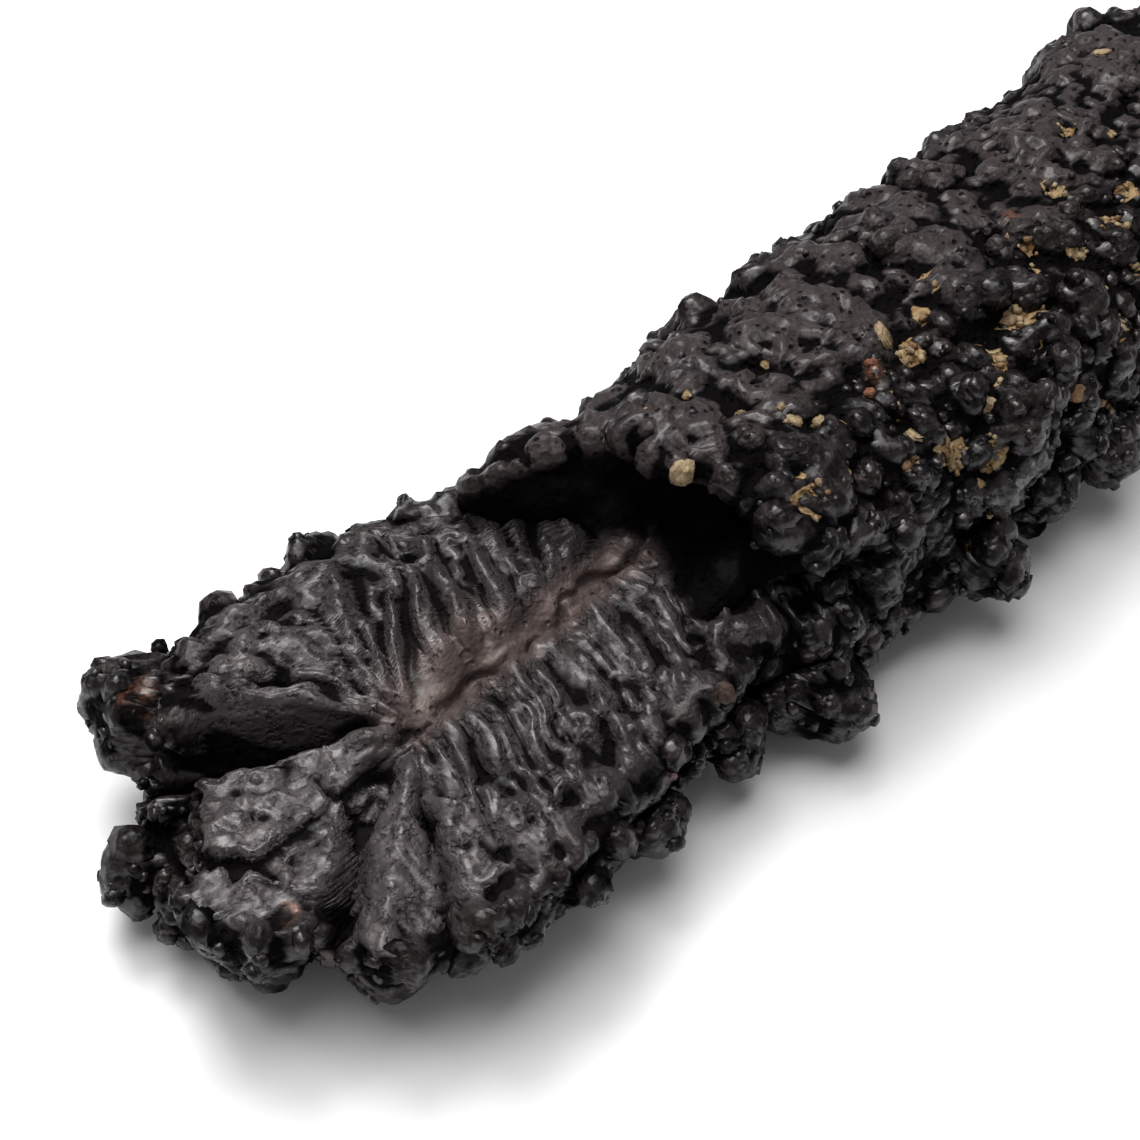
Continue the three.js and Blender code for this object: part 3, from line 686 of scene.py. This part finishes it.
def ragged_patches(points, places):
    """From 1 inside ragged patches to 0 outside: an eased step of the distance from each place over
    its radius, shifted by noise. Height counts for less, so that patches follow the surface."""
    ragged = 0.5 * two_octaves(points / 0.7, 611)
    amount = np.zeros(points.shape[:-1])
    for x, y, z, radius in places:
        distance = np.sqrt(((points - (x, y, z)) ** 2 * (1, 1, 0.4)).sum(-1))
        amount = np.maximum(amount, smooth(1.05, 0.65, distance / radius + ragged))
    return amount


def sand_amount(points, hollow, face):
    """Where sand is stuck: hollows in SAND_PATCHES, and in a few more patches on the -Y flank."""
    x, y, z = np.moveaxis(points, -1, 0)
    flank = smooth(0.5, -1.5, y) * smooth(3.0, 5.5, z) * smooth(-6.0, 0.0, x)
    amount = 0.7 * smooth(0.35, 0.6, two_octaves(points / 1.6, 613)) * flank
    amount = np.maximum(amount, ragged_patches(points, SAND_PATCHES))
    return amount * smooth(-0.12, 0.05, hollow) * (1 - face)


def smooth_mesh(name, points, corners, counts, values):
    """A smooth mesh: corners lists the points of each face in turn, counts says how many each face
    has, and values holds one number for each point under each name."""
    mesh = bpy.data.meshes.new(name)
    mesh.vertices.add(len(points))
    mesh.vertices.foreach_set("co", ((points - CENTRE) * MM).ravel())
    mesh.loops.add(len(corners))
    mesh.loops.foreach_set("vertex_index", corners.astype(np.int32))
    mesh.polygons.add(len(counts))
    mesh.polygons.foreach_set("loop_start", (np.cumsum(counts) - counts).astype(np.int32))
    mesh.polygons.foreach_set("use_smooth", np.ones(len(counts), bool))
    mesh.update(calc_edges=True)
    for key, value in values.items():
        attribute = mesh.attributes.new(key, "FLOAT", "POINT")
        attribute.data.foreach_set("value", value.astype(np.float32))
    mesh.validate()
    return mesh


def pole_grid_faces(rows, columns):
    """Quads and triangles of a grid that ends in poles: the first point, rows of columns that wrap
    round, and the last point."""
    row = np.arange(rows - 1)[:, None] * columns + 1
    left = np.arange(columns)
    right = (left + 1) % columns
    quads = stack(row + left, row + right, row + columns + right, row + columns + left)
    last_row = 1 + (rows - 1) * columns
    start = stack(0, 1 + right, 1 + left)
    end = stack(last_row + columns, last_row + left, last_row + right)
    return quads.reshape(-1, 4), np.concatenate([start, end])


def closed_mesh(name, points, masks):
    """A mesh from a grid whose first and last rows are poles and whose columns wrap round."""
    quads, triangles = pole_grid_faces(len(points) - 2, points.shape[1])
    corners = np.concatenate([quads.ravel(), triangles.ravel()])
    counts = np.repeat([4, 3], [len(quads), len(triangles)])

    def per_vertex(grid):
        inner = grid[1:-1].reshape(-1, *grid.shape[2:])
        return np.concatenate([grid[:1, 0], inner, grid[-1:, 0]])

    values = {key: per_vertex(mask) for key, mask in masks.items()}
    return smooth_mesh(name, per_vertex(points), corners, counts, values)


# ---- small pieces


def body_samples():
    """The stone's vertices in millimetres, their normals and some masks, read from its mesh."""
    mesh = bpy.data.objects["stone_body"].data
    points, normals = np.empty((2, len(mesh.vertices) * 3))
    mesh.vertices.foreach_get("co", points)
    mesh.vertex_normals.foreach_get("vector", normals)
    masks = {}
    for name in ("face", "wall", "worn", "sand"):
        masks[name] = np.empty(len(mesh.vertices))
        mesh.attributes[name].data.foreach_get("value", masks[name])
    return points.reshape(-1, 3) / MM + CENTRE, normals.reshape(-1, 3), masks


def scattered(points, weights, spacing, rng):
    """Indices of points picked at random but spread out: each cell of a lattice keeps its point
    with the lowest random score, if that point's weight beats another random number."""
    lattice = 2000  # cells along each side of a lattice that holds the whole stone
    cell = np.floor(points / spacing).astype(np.int64) + lattice // 2
    key = (cell[:, 0] * lattice + cell[:, 1]) * lattice + cell[:, 2]
    order = np.argsort(rng.random(len(points)))
    _, first = np.unique(key[order], return_index=True)
    chosen = order[first]
    return chosen[rng.random(len(chosen)) < weights[chosen]]


def ball(rings, segments):
    """A unit ball: directions (cos a sin b, sin a sin b, cos b) on rings between two poles, each
    turned half a radian from the last, and the triangles between them."""
    b = np.linspace(0, np.pi, rings + 2)[1:-1, None]
    a = np.linspace(0, 2 * np.pi, segments, endpoint=False) + 0.5 * np.arange(rings)[:, None]
    belt = stack(np.cos(a) * np.sin(b), np.sin(a) * np.sin(b), np.cos(b)).reshape(-1, 3)
    directions = np.concatenate([[(0, 0, 1)], belt, [(0, 0, -1)]])
    quads, caps = pole_grid_faces(rings, segments)
    belts = quads[:, [0, 3, 2]], quads[:, [0, 2, 1]]
    caps = np.split(caps[:, [0, 2, 1]], 2)
    return directions, np.concatenate([caps[0], *belts, caps[1]])


def joined_balls(points, normals, lift, radii, flatness, roughness, shape, rng):
    """Many small lumps, lifted off the skin, as one set of points and triangles. Each is a ball
    stretched at random along three axes, the last one along its normal, dented by noise and often
    dimpled on top. Also returns how far each point faces away from the stone, from -1 to 1, and
    the lump it belongs to."""
    directions, triangles = ball(*shape)
    count, size = len(points), len(directions)
    centres = points + normals * lift[:, None]
    first = np.cross(normals, rng.normal(size=(count, 3)))
    first = first / np.linalg.norm(first, axis=1, keepdims=True)
    axes = np.stack([first, np.cross(normals, first), normals], 1)
    stretch = radii[:, None] * rng.uniform(0.78, 1.22, (count, 3)) * (1, 1, flatness)
    dents = 1 + roughness * noise(directions * 1.7 + rng.uniform(-90, 90, (count, 1, 3)), 701)
    dimple = rng.uniform(-0.5, 1.1, (count, 1)).clip(0) * roughness
    dents = dents - dimple * smooth(0.75, 1, directions[:, 2])
    lumps = centres[:, None] + directions * stretch[:, None] * dents[..., None] @ axes
    lumps = np.clip(lumps, BOX_LOW, BOX_HIGH).reshape(-1, 3)
    faces = triangles + (np.arange(count) * size)[:, None, None]
    owner = np.repeat(np.arange(count), size)
    return lumps, faces.reshape(-1, 3), np.tile(directions[:, 2], count), owner


def triangle_mesh(name, points, triangles, values):
    """A smooth mesh of triangles."""
    return smooth_mesh(name, points, triangles.ravel(), np.full(len(triangles), 3), values)


def knob_weights(points, normals, masks):
    """How likely each place is to carry a loose-looking knob: most on the flanks and under the rim,
    few on the worn top, none on the broken face or underneath."""
    x, y, z = points.T
    worn = smooth(7.5, 10.0, z) * smooth(-5, -1.5, y)
    open_side = smooth(-0.75, -0.3, normals[:, 2]) * smooth(0.8, 1.6, z)
    off_face = smooth(0.02, 0.0, masks["face"]) * smooth(0.5, 0.1, masks["wall"])
    lip = smooth(-7.0, -9.0, x) * smooth(6.0, 8.0, z)
    return open_side * off_face * (1 - 0.8 * worn) * (1 - 0.7 * lip)


# ---- materials


class Shade:
    """A value that varies over a surface. Its operators, +, - and *, add Math nodes."""

    def __init__(self, recipe, socket):
        self.recipe = recipe
        self.socket = socket

    def maths(self, operation, first, second=0.0):
        return self.recipe.node("ShaderNodeMath", {"operation": operation}, {0: first, 1: second})

    def __abs__(self):
        return self.maths("ABSOLUTE", self)

    def between(self, low, high):
        """0 below low and 1 above high, eased between them."""
        settings = {"interpolation_type": "SMOOTHSTEP"}
        return self.recipe.node("ShaderNodeMapRange", settings, {"Value": self, 1: low, 2: high})


def give_operator(symbol, operation):
    """Lets a Shade stand on either side of an operator."""
    setattr(Shade, f"__{symbol}__", lambda self, other: self.maths(operation, self, other))
    setattr(Shade, f"__r{symbol}__", lambda self, other: self.maths(operation, other, self))


for symbol, operation in (("add", "ADD"), ("sub", "SUBTRACT"), ("mul", "MULTIPLY")):
    give_operator(symbol, operation)


class Recipe:
    """A material's node tree. One method adds any node; the others name the common ones."""

    def __init__(self, name):
        self.material = bpy.data.materials.new(name)
        self.material.use_nodes = True
        self.tree = self.material.node_tree
        self.shader = self.tree.nodes["Principled BSDF"]

    def node(self, kind, settings=None, sockets=None, output=0):
        """Adds a node, fills in its settings and sockets, and returns one of its outputs."""
        made = self.tree.nodes.new(kind)
        for key, value in (settings or {}).items():
            setattr(made, key, value)
        for key, value in (sockets or {}).items():
            self.feed(made.inputs[key], value)
        return Shade(self, made.outputs[output])

    def feed(self, socket, value):
        if isinstance(value, Shade):
            self.tree.links.new(value.socket, socket)
        else:
            socket.default_value = value

    def attribute(self, name):
        return self.node("ShaderNodeAttribute", {"attribute_name": name}, output="Fac")

    def place(self):
        return self.node("ShaderNodeTexCoord", output="Object")

    def noise(self, scale, detail=2.0, roughness=0.5, kind="FBM"):
        sockets = {"Vector": self.place(), "Scale": scale, "Detail": detail, "Roughness": roughness}
        return self.node("ShaderNodeTexNoise", {"noise_type": kind}, sockets)

    def cells(self, scale, output="Distance"):
        sockets = {"Vector": self.place(), "Scale": scale}
        return self.node("ShaderNodeTexVoronoi", None, sockets, output)

    def mix(self, factor, first, second):
        sockets = {0: factor, 6: first, 7: second}
        return self.node("ShaderNodeMix", {"data_type": "RGBA"}, sockets, output=2)

    def bump(self, height, distance):
        sockets = {"Strength": 1.0, "Distance": distance, "Height": height}
        return self.node("ShaderNodeBump", None, sockets)

    def finish(self, **inputs):
        """Sets the shader's own sockets."""
        for key, value in inputs.items():
            self.feed(self.shader.inputs[key.replace("_", " ")], value)
        return self.material


def grey(value):
    return (value, value, value, 1.0)


def either(first, second):
    """High where either mask is high: 1 - (1 - first) * (1 - second)."""
    return 1 - (1 - first) * (1 - second)


def iron_oxide(colours, name, ribbed):
    """Near-black stone with a half-metallic gloss: greyer where worn and on the broken face,
    reddish round the midrib, rusty in places, with painted shade that makes it dull and black in
    its hollows, some of which hold sand, and a painted lighter colour on the lobes at the tip where
    more light falls. Only the body is ribbed; loose knobs leave out all that belongs to the face
    and sand."""
    recipe = Recipe(name)
    hollow = recipe.attribute("hollow")
    clouds = recipe.noise(260.0, 3.0, 0.6)
    mottle = recipe.noise(1500.0, 2.0, 0.6)
    dimples = recipe.cells(1700.0).between(0.08, 0.26)
    pimples = 1 - recipe.cells(4200.0)
    creases = recipe.noise(1100.0, 1.5, 0.55, "RIDGED_MULTIFRACTAL")
    pocks = recipe.cells(1250.0).between(0.15, 0.45) * clouds.between(0.3, 0.6)
    height = 0.3 * pimples + 0.9 * dimples + 0.7 * creases + 0.8 * pocks

    body = recipe.mix(clouds.between(0.35, 0.68), colours.dark_stone, colours.brown_stone)
    ridge = (1 - hollow.between(0.25, 0.55)) * mottle.between(0.4, 0.65)
    body = recipe.mix(ridge * 0.5, body, colours.worn_stone)
    if ribbed:
        face = recipe.attribute("face")
        hollow = hollow + 0.05 - 0.14 * face - 0.14 * recipe.attribute("worn")
    # Painted shade: the deeper the hollow, the nearer the colour goes to black and the duller the
    # coat.
    painted_shade = hollow.between(0.42, 0.72)
    worn = recipe.attribute("worn") * clouds.between(0.25, 0.45)
    # The pits on the worn top get painted shade as well.
    painted_shade = either(painted_shade, 0.7 * worn * (1 - dimples))
    body = recipe.mix(0.75 * worn * (1 - painted_shade), body, colours.worn_stone)
    metal = 0.45 * (1 - 0.5 * worn)
    if ribbed:
        wall = recipe.attribute("wall")
        # Painted light: the lobes at the tip get a lighter colour, as if more light fell on them.
        lobes = recipe.attribute("lobes")
        leaf = recipe.mix(lobes, colours.leaf, colours.lobes)
        body = recipe.mix(face * (0.6 + 0.4 * clouds.between(0.3, 0.7)), body, leaf)
        crease = abs(recipe.noise(950.0, 3.0, 0.6) - 0.5).between(0.0, 0.07)
        warmth = recipe.attribute("warmth")
        crease = 1 - (1 - crease) * face * mottle.between(0.4, 0.6) * (1 - warmth)
        height = height * (1 - 0.5 * face) + 0.4 * crease
        # Painted shade: the scarp's wall is painted nearly black, and so are the creases and pits
        # on the broken face.
        painted_shade = either(painted_shade, 0.95 * wall)
        painted_shade = 1 - (1 - painted_shade) * (0.6 + 0.4 * crease) * (1 - 0.4 * face * (1 - dimples))
        body = recipe.mix(warmth * (0.8 + 0.2 * mottle), body, colours.midrib)
        rust = recipe.attribute("rust") * (0.15 + 0.45 * mottle.between(0.4, 0.6))
        body = recipe.mix(rust, body, colours.rust)
        painted_shade = painted_shade * (1 - 0.5 * warmth) * (1 - 0.5 * rust)
    # The painted shade itself: the colour is mixed towards the near-black crevice colour.
    body = recipe.mix(painted_shade * 0.92, body, colours.crevice_shade)
    rough = 0.36 + 0.2 * mottle + 0.3 * painted_shade + 0.06 * worn
    gloss = (1 - painted_shade) * (0.18 + 0.5 * mottle.between(0.35, 0.6)) * (1 - 0.55 * worn)
    if ribbed:
        rough = rough + 0.06 * face
        gloss = gloss * (1 - 0.3 * face)
        grains = recipe.cells(3200.0, output="Color")
        tone = recipe.node("ShaderNodeSeparateColor", None, {0: grains})
        sandy = recipe.attribute("sand") * (0.7 + 0.6 * recipe.noise(2400.0, 3.0, 0.6))
        sandy = sandy.between(0.5, 0.74)
        body = recipe.mix(sandy, body, recipe.mix(tone, colours.ochre, colours.sand))
        rough = rough + 0.4 * sandy
        gloss = gloss * (1 - sandy)
        metal = metal * (1 - sandy)
    return recipe.finish(
        Base_Color=body,
        Metallic=metal,
        Roughness=rough,
        Specular_IOR_Level=0.05,
        Coat_Weight=gloss,
        Coat_Roughness=0.2,
        Normal=recipe.bump(height, 0.00022 if ribbed else 0.00028),
    )


def sand_grain(colours):
    """Dull quartz sand, from pale tan through gold to rusty orange."""
    recipe = Recipe("sand_grain")
    tone = recipe.attribute("tone")
    speck = recipe.noise(5200.0, 3.0, 0.6)
    body = recipe.mix(tone.between(0.25, 0.85), colours.sand, colours.ochre)
    body = recipe.mix(tone.between(0.9, 1.0), body, colours.rust)
    body = recipe.mix(tone.between(1.1, 1.6) * 0.8, body, colours.brown_stone)
    body = recipe.mix(speck.between(0.4, 0.7) * 0.5, body, colours.brown_stone)
    normal = recipe.bump(speck, 0.0001)
    return recipe.finish(Base_Color=body, Roughness=0.55 + 0.3 * speck, Normal=normal)


def floor_paper():
    """Matt white paper."""
    recipe = Recipe("floor_paper")
    normal = recipe.bump(recipe.noise(900.0), 0.00001)
    return recipe.finish(Base_Color=grey(0.88), Roughness=0.9, Normal=normal)


# ---- settings


def setting(kind, **traits):
    """A function that declares one kind of setting by its name, description and default."""

    def declare(name, description, default):
        return kind(name=name, description=description, default=default, **traits)

    return declare


count_setting = setting(bpy.props.IntProperty, min=24)
length_setting = setting(bpy.props.FloatProperty, min=0, precision=5, unit="LENGTH")
lens_setting = setting(bpy.props.FloatProperty, min=1, unit="CAMERA")
power_setting = setting(bpy.props.FloatProperty, min=0, unit="POWER")
angle_setting = setting(bpy.props.FloatProperty, subtype="ANGLE")
colour_setting = setting(bpy.props.FloatVectorProperty, subtype="COLOR", size=4, min=0, max=1)


class StoneSizes(bpy.types.PropertyGroup):
    """Sizes that a user would change."""

    rows: count_setting("Rows", "Grid rows along the stone", 416)
    columns: count_setting("Columns", "Grid columns round the stone", 238)
    middle_size: length_setting("Knob size", "Cell of a common knob", 0.95 * MM)
    middle_height: length_setting("Knob height", "Rise of a common knob", 0.6 * MM)
    small_size: length_setting("Small knob size", "Cell of a small knob", 0.5 * MM)
    small_height: length_setting("Small knob height", "Rise of a small knob", 0.26 * MM)
    coarse_spacing: length_setting("Coarse knob spacing", "Between the large loose knobs", 1.5 * MM)
    coarse_radius: length_setting("Coarse knob radius", "Of a large loose knob", 0.62 * MM)
    fine_spacing: length_setting("Fine knob spacing", "Between the small loose knobs", 0.85 * MM)
    fine_radius: length_setting("Fine knob radius", "Of a small loose knob", 0.28 * MM)
    grain_spacing: length_setting("Grain spacing", "Distance between sand grains", 0.3 * MM)
    grain_radius: length_setting("Grain radius", "Middle radius of a sand grain", 0.12 * MM)
    rib_width: length_setting("Rib width", "Width of a wide rib", 1.05 * MM)
    rib_height: length_setting("Rib height", "Height of a wide rib", 0.6 * MM)
    fine_rib_width: length_setting("Fine rib width", "Width of a fine rib", 0.45 * MM)
    fine_rib_height: length_setting("Fine rib height", "Height of a fine rib", 0.2 * MM)


class StoneColours(bpy.types.PropertyGroup):
    """Colours that a user would change."""

    dark_stone: colour_setting("Dark stone", "Main colour", (0.0075, 0.0063, 0.0078, 1))
    brown_stone: colour_setting("Brown stone", "Browner clouds", (0.014, 0.0098, 0.0092, 1))
    worn_stone: colour_setting("Worn stone", "Dusty high points", (0.05, 0.0395, 0.04, 1))
    leaf: colour_setting("Leaf", "The broken face", (0.05, 0.0425, 0.0432, 1))
    # The lobes' colour is the leaf's colour painted lighter, as painted light where light falls on
    # the tip.
    lobes: colour_setting("Lobes", "The broken face's lobes at the tip", (0.09, 0.0785, 0.08, 1))
    # Painted shade: the near-black colour of hollows, creases, pits and the scarp's wall.
    crevice_shade: colour_setting("Crevice", "Deep creases", (0.0016, 0.0012, 0.0014, 1))
    midrib: colour_setting("Midrib", "Reddish rock round the midrib", (0.145, 0.108, 0.098, 1))
    rust: colour_setting("Rust", "Rusty stains and grains", (0.19, 0.065, 0.028, 1))
    sand: colour_setting("Sand", "Pale sand grains", (0.34, 0.248, 0.137, 1))
    ochre: colour_setting("Ochre", "Darker sand grains", (0.21, 0.115, 0.045, 1))


class StageSettings(bpy.types.PropertyGroup):
    """Camera and light."""

    lens: lens_setting("Lens", "Focal length on a 36 mm sensor", 67.0)
    overhead_power: power_setting("Overhead light", "Power of the overhead light", 2.4)
    window_power: power_setting("Window light", "Power of the window light", 1.35)
    height_angle: angle_setting("Camera height", "Angle above the floor", math.radians(48))
    turn_angle: angle_setting("Camera turn", "Angle from -Y towards -X", math.radians(46))


# ---- operators


def placed(scene, name, data):
    """A new object in the scene."""
    made = bpy.data.objects.new(name, data)
    scene.collection.objects.link(made)
    return made


def add_piece(scene, mesh, material):
    """Puts a piece on the stone's body and gives it its material."""
    piece = placed(scene, mesh.name, mesh)
    mesh.materials.append(material)
    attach(piece, "root")
    return piece


class STONE_OT_body(bpy.types.Operator):
    """Build the stone itself"""

    bl_idname = "stone.body"
    bl_label = "Stone"

    def execute(self, context):
        scene = context.scene
        points, masks = stone_surface(scene.stone_sizes)
        material = iron_oxide(scene.stone_colours, "iron_oxide", True)
        piece = add_piece(scene, closed_mesh("stone_body", points, masks), material)
        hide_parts("stone")
        return {"FINISHED"}


class STONE_OT_knobs(bpy.types.Operator):
    """Set knobs into the skin: a coarse set and a fine set, each one joined mesh"""

    bl_idname = "stone.knobs"
    bl_label = "Knobs"

    def execute(self, context):
        scene = context.scene
        sizes = scene.stone_sizes
        points, normals, masks = body_samples()
        weights = knob_weights(points, normals, masks)
        material = iron_oxide(scene.stone_colours, "knob_oxide", False)
        kinds = (
            ("coarse_knobs", sizes.coarse_spacing, sizes.coarse_radius, 0.7, (4, 8), 21),
            ("fine_knobs", sizes.fine_spacing, sizes.fine_radius, 0.5, (3, 7), 22),
        )
        for name, spacing, radius, share, shape, seed in kinds:
            rng = np.random.default_rng(seed)
            picked = scattered(points, share * weights, spacing / MM, rng)
            radii = radius / MM * rng.uniform(0.55, 1.6, len(picked))
            lift = -radii * rng.uniform(0.3, 0.7, len(picked))
            lumps, faces, away, owner = joined_balls(
                points[picked], normals[picked], lift, radii, 0.8, 0.22, shape, rng
            )
            # Painted shade: each knob's side that faces the stone is marked as hollow, so the
            # material paints it darker.
            hollow = np.clip(0.42 - 0.5 * away, 0, 1)
            values = {"hollow": hollow, "worn": masks["worn"][picked][owner]}
            add_piece(scene, triangle_mesh(name, lumps, faces, values), material)
        return {"FINISHED"}


class STONE_OT_sand(bpy.types.Operator):
    """Set sand grains into the crevices as one joined mesh"""

    bl_idname = "stone.sand"
    bl_label = "Sand"

    def execute(self, context):
        scene = context.scene
        sizes = scene.stone_sizes
        points, normals, masks = body_samples()
        rng = np.random.default_rng(31)
        picked = scattered(points, masks["sand"] * 0.5, sizes.grain_spacing / MM, rng)
        radii = sizes.grain_radius / MM * rng.uniform(0.6, 1.3, len(picked))
        radii = radii / rng.uniform(0.45, 1, len(picked))
        *places, large_radii, large_tones = np.array(LARGE_GRAINS).T
        nearest = [np.argmin(((points - place) ** 2).sum(1)) for place in np.transpose(places)]
        kinds = (
            (picked, radii, PALEST_RUST * rng.random(len(picked)), 0.65, 0.4, (4, 7)),
            (np.array(nearest), large_radii, large_tones, 0.55, 0.5, (7, 12)),
        )
        grains, faces, tones, count = [], [], [], 0
        for chosen, size, tone, flatness, roughness, shape in kinds:
            lift = 0.03 - 0.1 * (size - 0.15).clip(0)
            lumps, sides, _, owner = joined_balls(
                points[chosen], normals[chosen], lift, size, flatness, roughness, shape, rng
            )
            grains.append(lumps)
            faces.append(sides + count)
            tones.append(tone[owner])
            count += len(lumps)
        grains, faces, tones = map(np.concatenate, (grains, faces, tones))
        mesh = triangle_mesh("sand_grains", grains, faces, {"tone": tones})
        add_piece(scene, mesh, sand_grain(scene.stone_colours))
        return {"FINISHED"}


class STONE_OT_stage(bpy.types.Operator):
    """Lay the floor and set the lights and the camera"""

    bl_idname = "stone.stage"
    bl_label = "Stage"

    def execute(self, context):
        scene = context.scene
        self.lay_floor(scene)
        for name, place, size, power in LIGHTS:
            self.hang_light(scene, name, place, size, getattr(scene.stone_stage, power))
        self.set_world(scene)
        self.set_camera(scene)
        scene.view_settings.view_transform = "Standard"
        return {"FINISHED"}

    def lay_floor(self, scene):
        mesh = bpy.data.meshes.new("floor")
        signs = (-1, -1), (1, -1), (1, 1), (-1, 1)
        corners = [(x * FLOOR_HALF, y * FLOOR_HALF, 0) for x, y in signs]
        mesh.from_pydata(corners, [], [(0, 1, 2, 3)])
        mesh.materials.append(floor_paper())
        floor = placed(scene, "floor", mesh)

    def hang_light(self, scene, name, place, size, power):
        """A square soft light that points at the stone."""
        light = bpy.data.lights.new(name, "AREA")
        light.size = size
        light.energy = power
        lamp = placed(scene, name, light)
        lamp.location = place
        lamp.rotation_euler = (-Vector(place)).to_track_quat("-Z", "Y").to_euler()

    def set_world(self, scene):
        world = bpy.data.worlds.new("white_room")
        world.use_nodes = True
        background = world.node_tree.nodes["Background"]
        background.inputs["Color"].default_value = grey(1.0)
        background.inputs["Strength"].default_value = WORLD_STRENGTH
        scene.world = world

    def set_camera(self, scene):
        """The camera looks down at the target from where its lens shows VIEW_WIDTH."""
        settings = scene.stone_stage
        rise, turn = settings.height_angle, settings.turn_angle
        level = Vector((-math.sin(turn), -math.cos(turn), 0))
        back = level * math.cos(rise) + Vector((0, 0, math.sin(rise)))
        right = Vector((math.cos(turn), -math.sin(turn), 0))
        up = back.cross(right)
        target = (Vector(CAMERA_TARGET) - Vector(CENTRE)) * MM
        distance = VIEW_WIDTH * settings.lens / SENSOR
        turned = Matrix((right, up, back)).transposed().to_4x4()
        data = bpy.data.cameras.new("camera")
        data.lens = settings.lens
        data.sensor_width = SENSOR
        data.clip_start = 0.001
        scene.camera = placed(scene, "camera", data)
        scene.camera.matrix_world = Matrix.Translation(target + back * distance) @ turned


class STONE_PT_panel(bpy.types.Panel):
    """Buttons for each step"""

    bl_idname = "STONE_PT_panel"
    bl_label = "Prophecy Stone"
    bl_space_type = "VIEW_3D"
    bl_region_type = "UI"
    bl_category = "Prophecy Stone"

    def draw(self, context):
        for name in SETTINGS:
            settings = getattr(context.scene, name)
            for key in settings.__annotations__:
                self.layout.prop(settings, key)
        for operator in OPERATORS:
            self.layout.operator(operator.bl_idname)


SETTINGS = {"stone_sizes": StoneSizes, "stone_colours": StoneColours, "stone_stage": StageSettings}
OPERATORS = (STONE_OT_body, STONE_OT_knobs, STONE_OT_sand, STONE_OT_stage)


def register():
    for kind in (*SETTINGS.values(), *OPERATORS, STONE_PT_panel):
        bpy.utils.register_class(kind)
    for name, kind in SETTINGS.items():
        setattr(bpy.types.Scene, name, bpy.props.PointerProperty(type=kind))


def unregister():
    for name in SETTINGS:
        delattr(bpy.types.Scene, name)
    for kind in (STONE_PT_panel, *reversed(OPERATORS), *SETTINGS.values()):
        bpy.utils.unregister_class(kind)


def main():
    register()
    bpy.ops.stone.body()
    bpy.ops.stone.knobs()
    bpy.ops.stone.sand()
    bpy.ops.stone.stage()


if __name__ == "__main__":
    main()
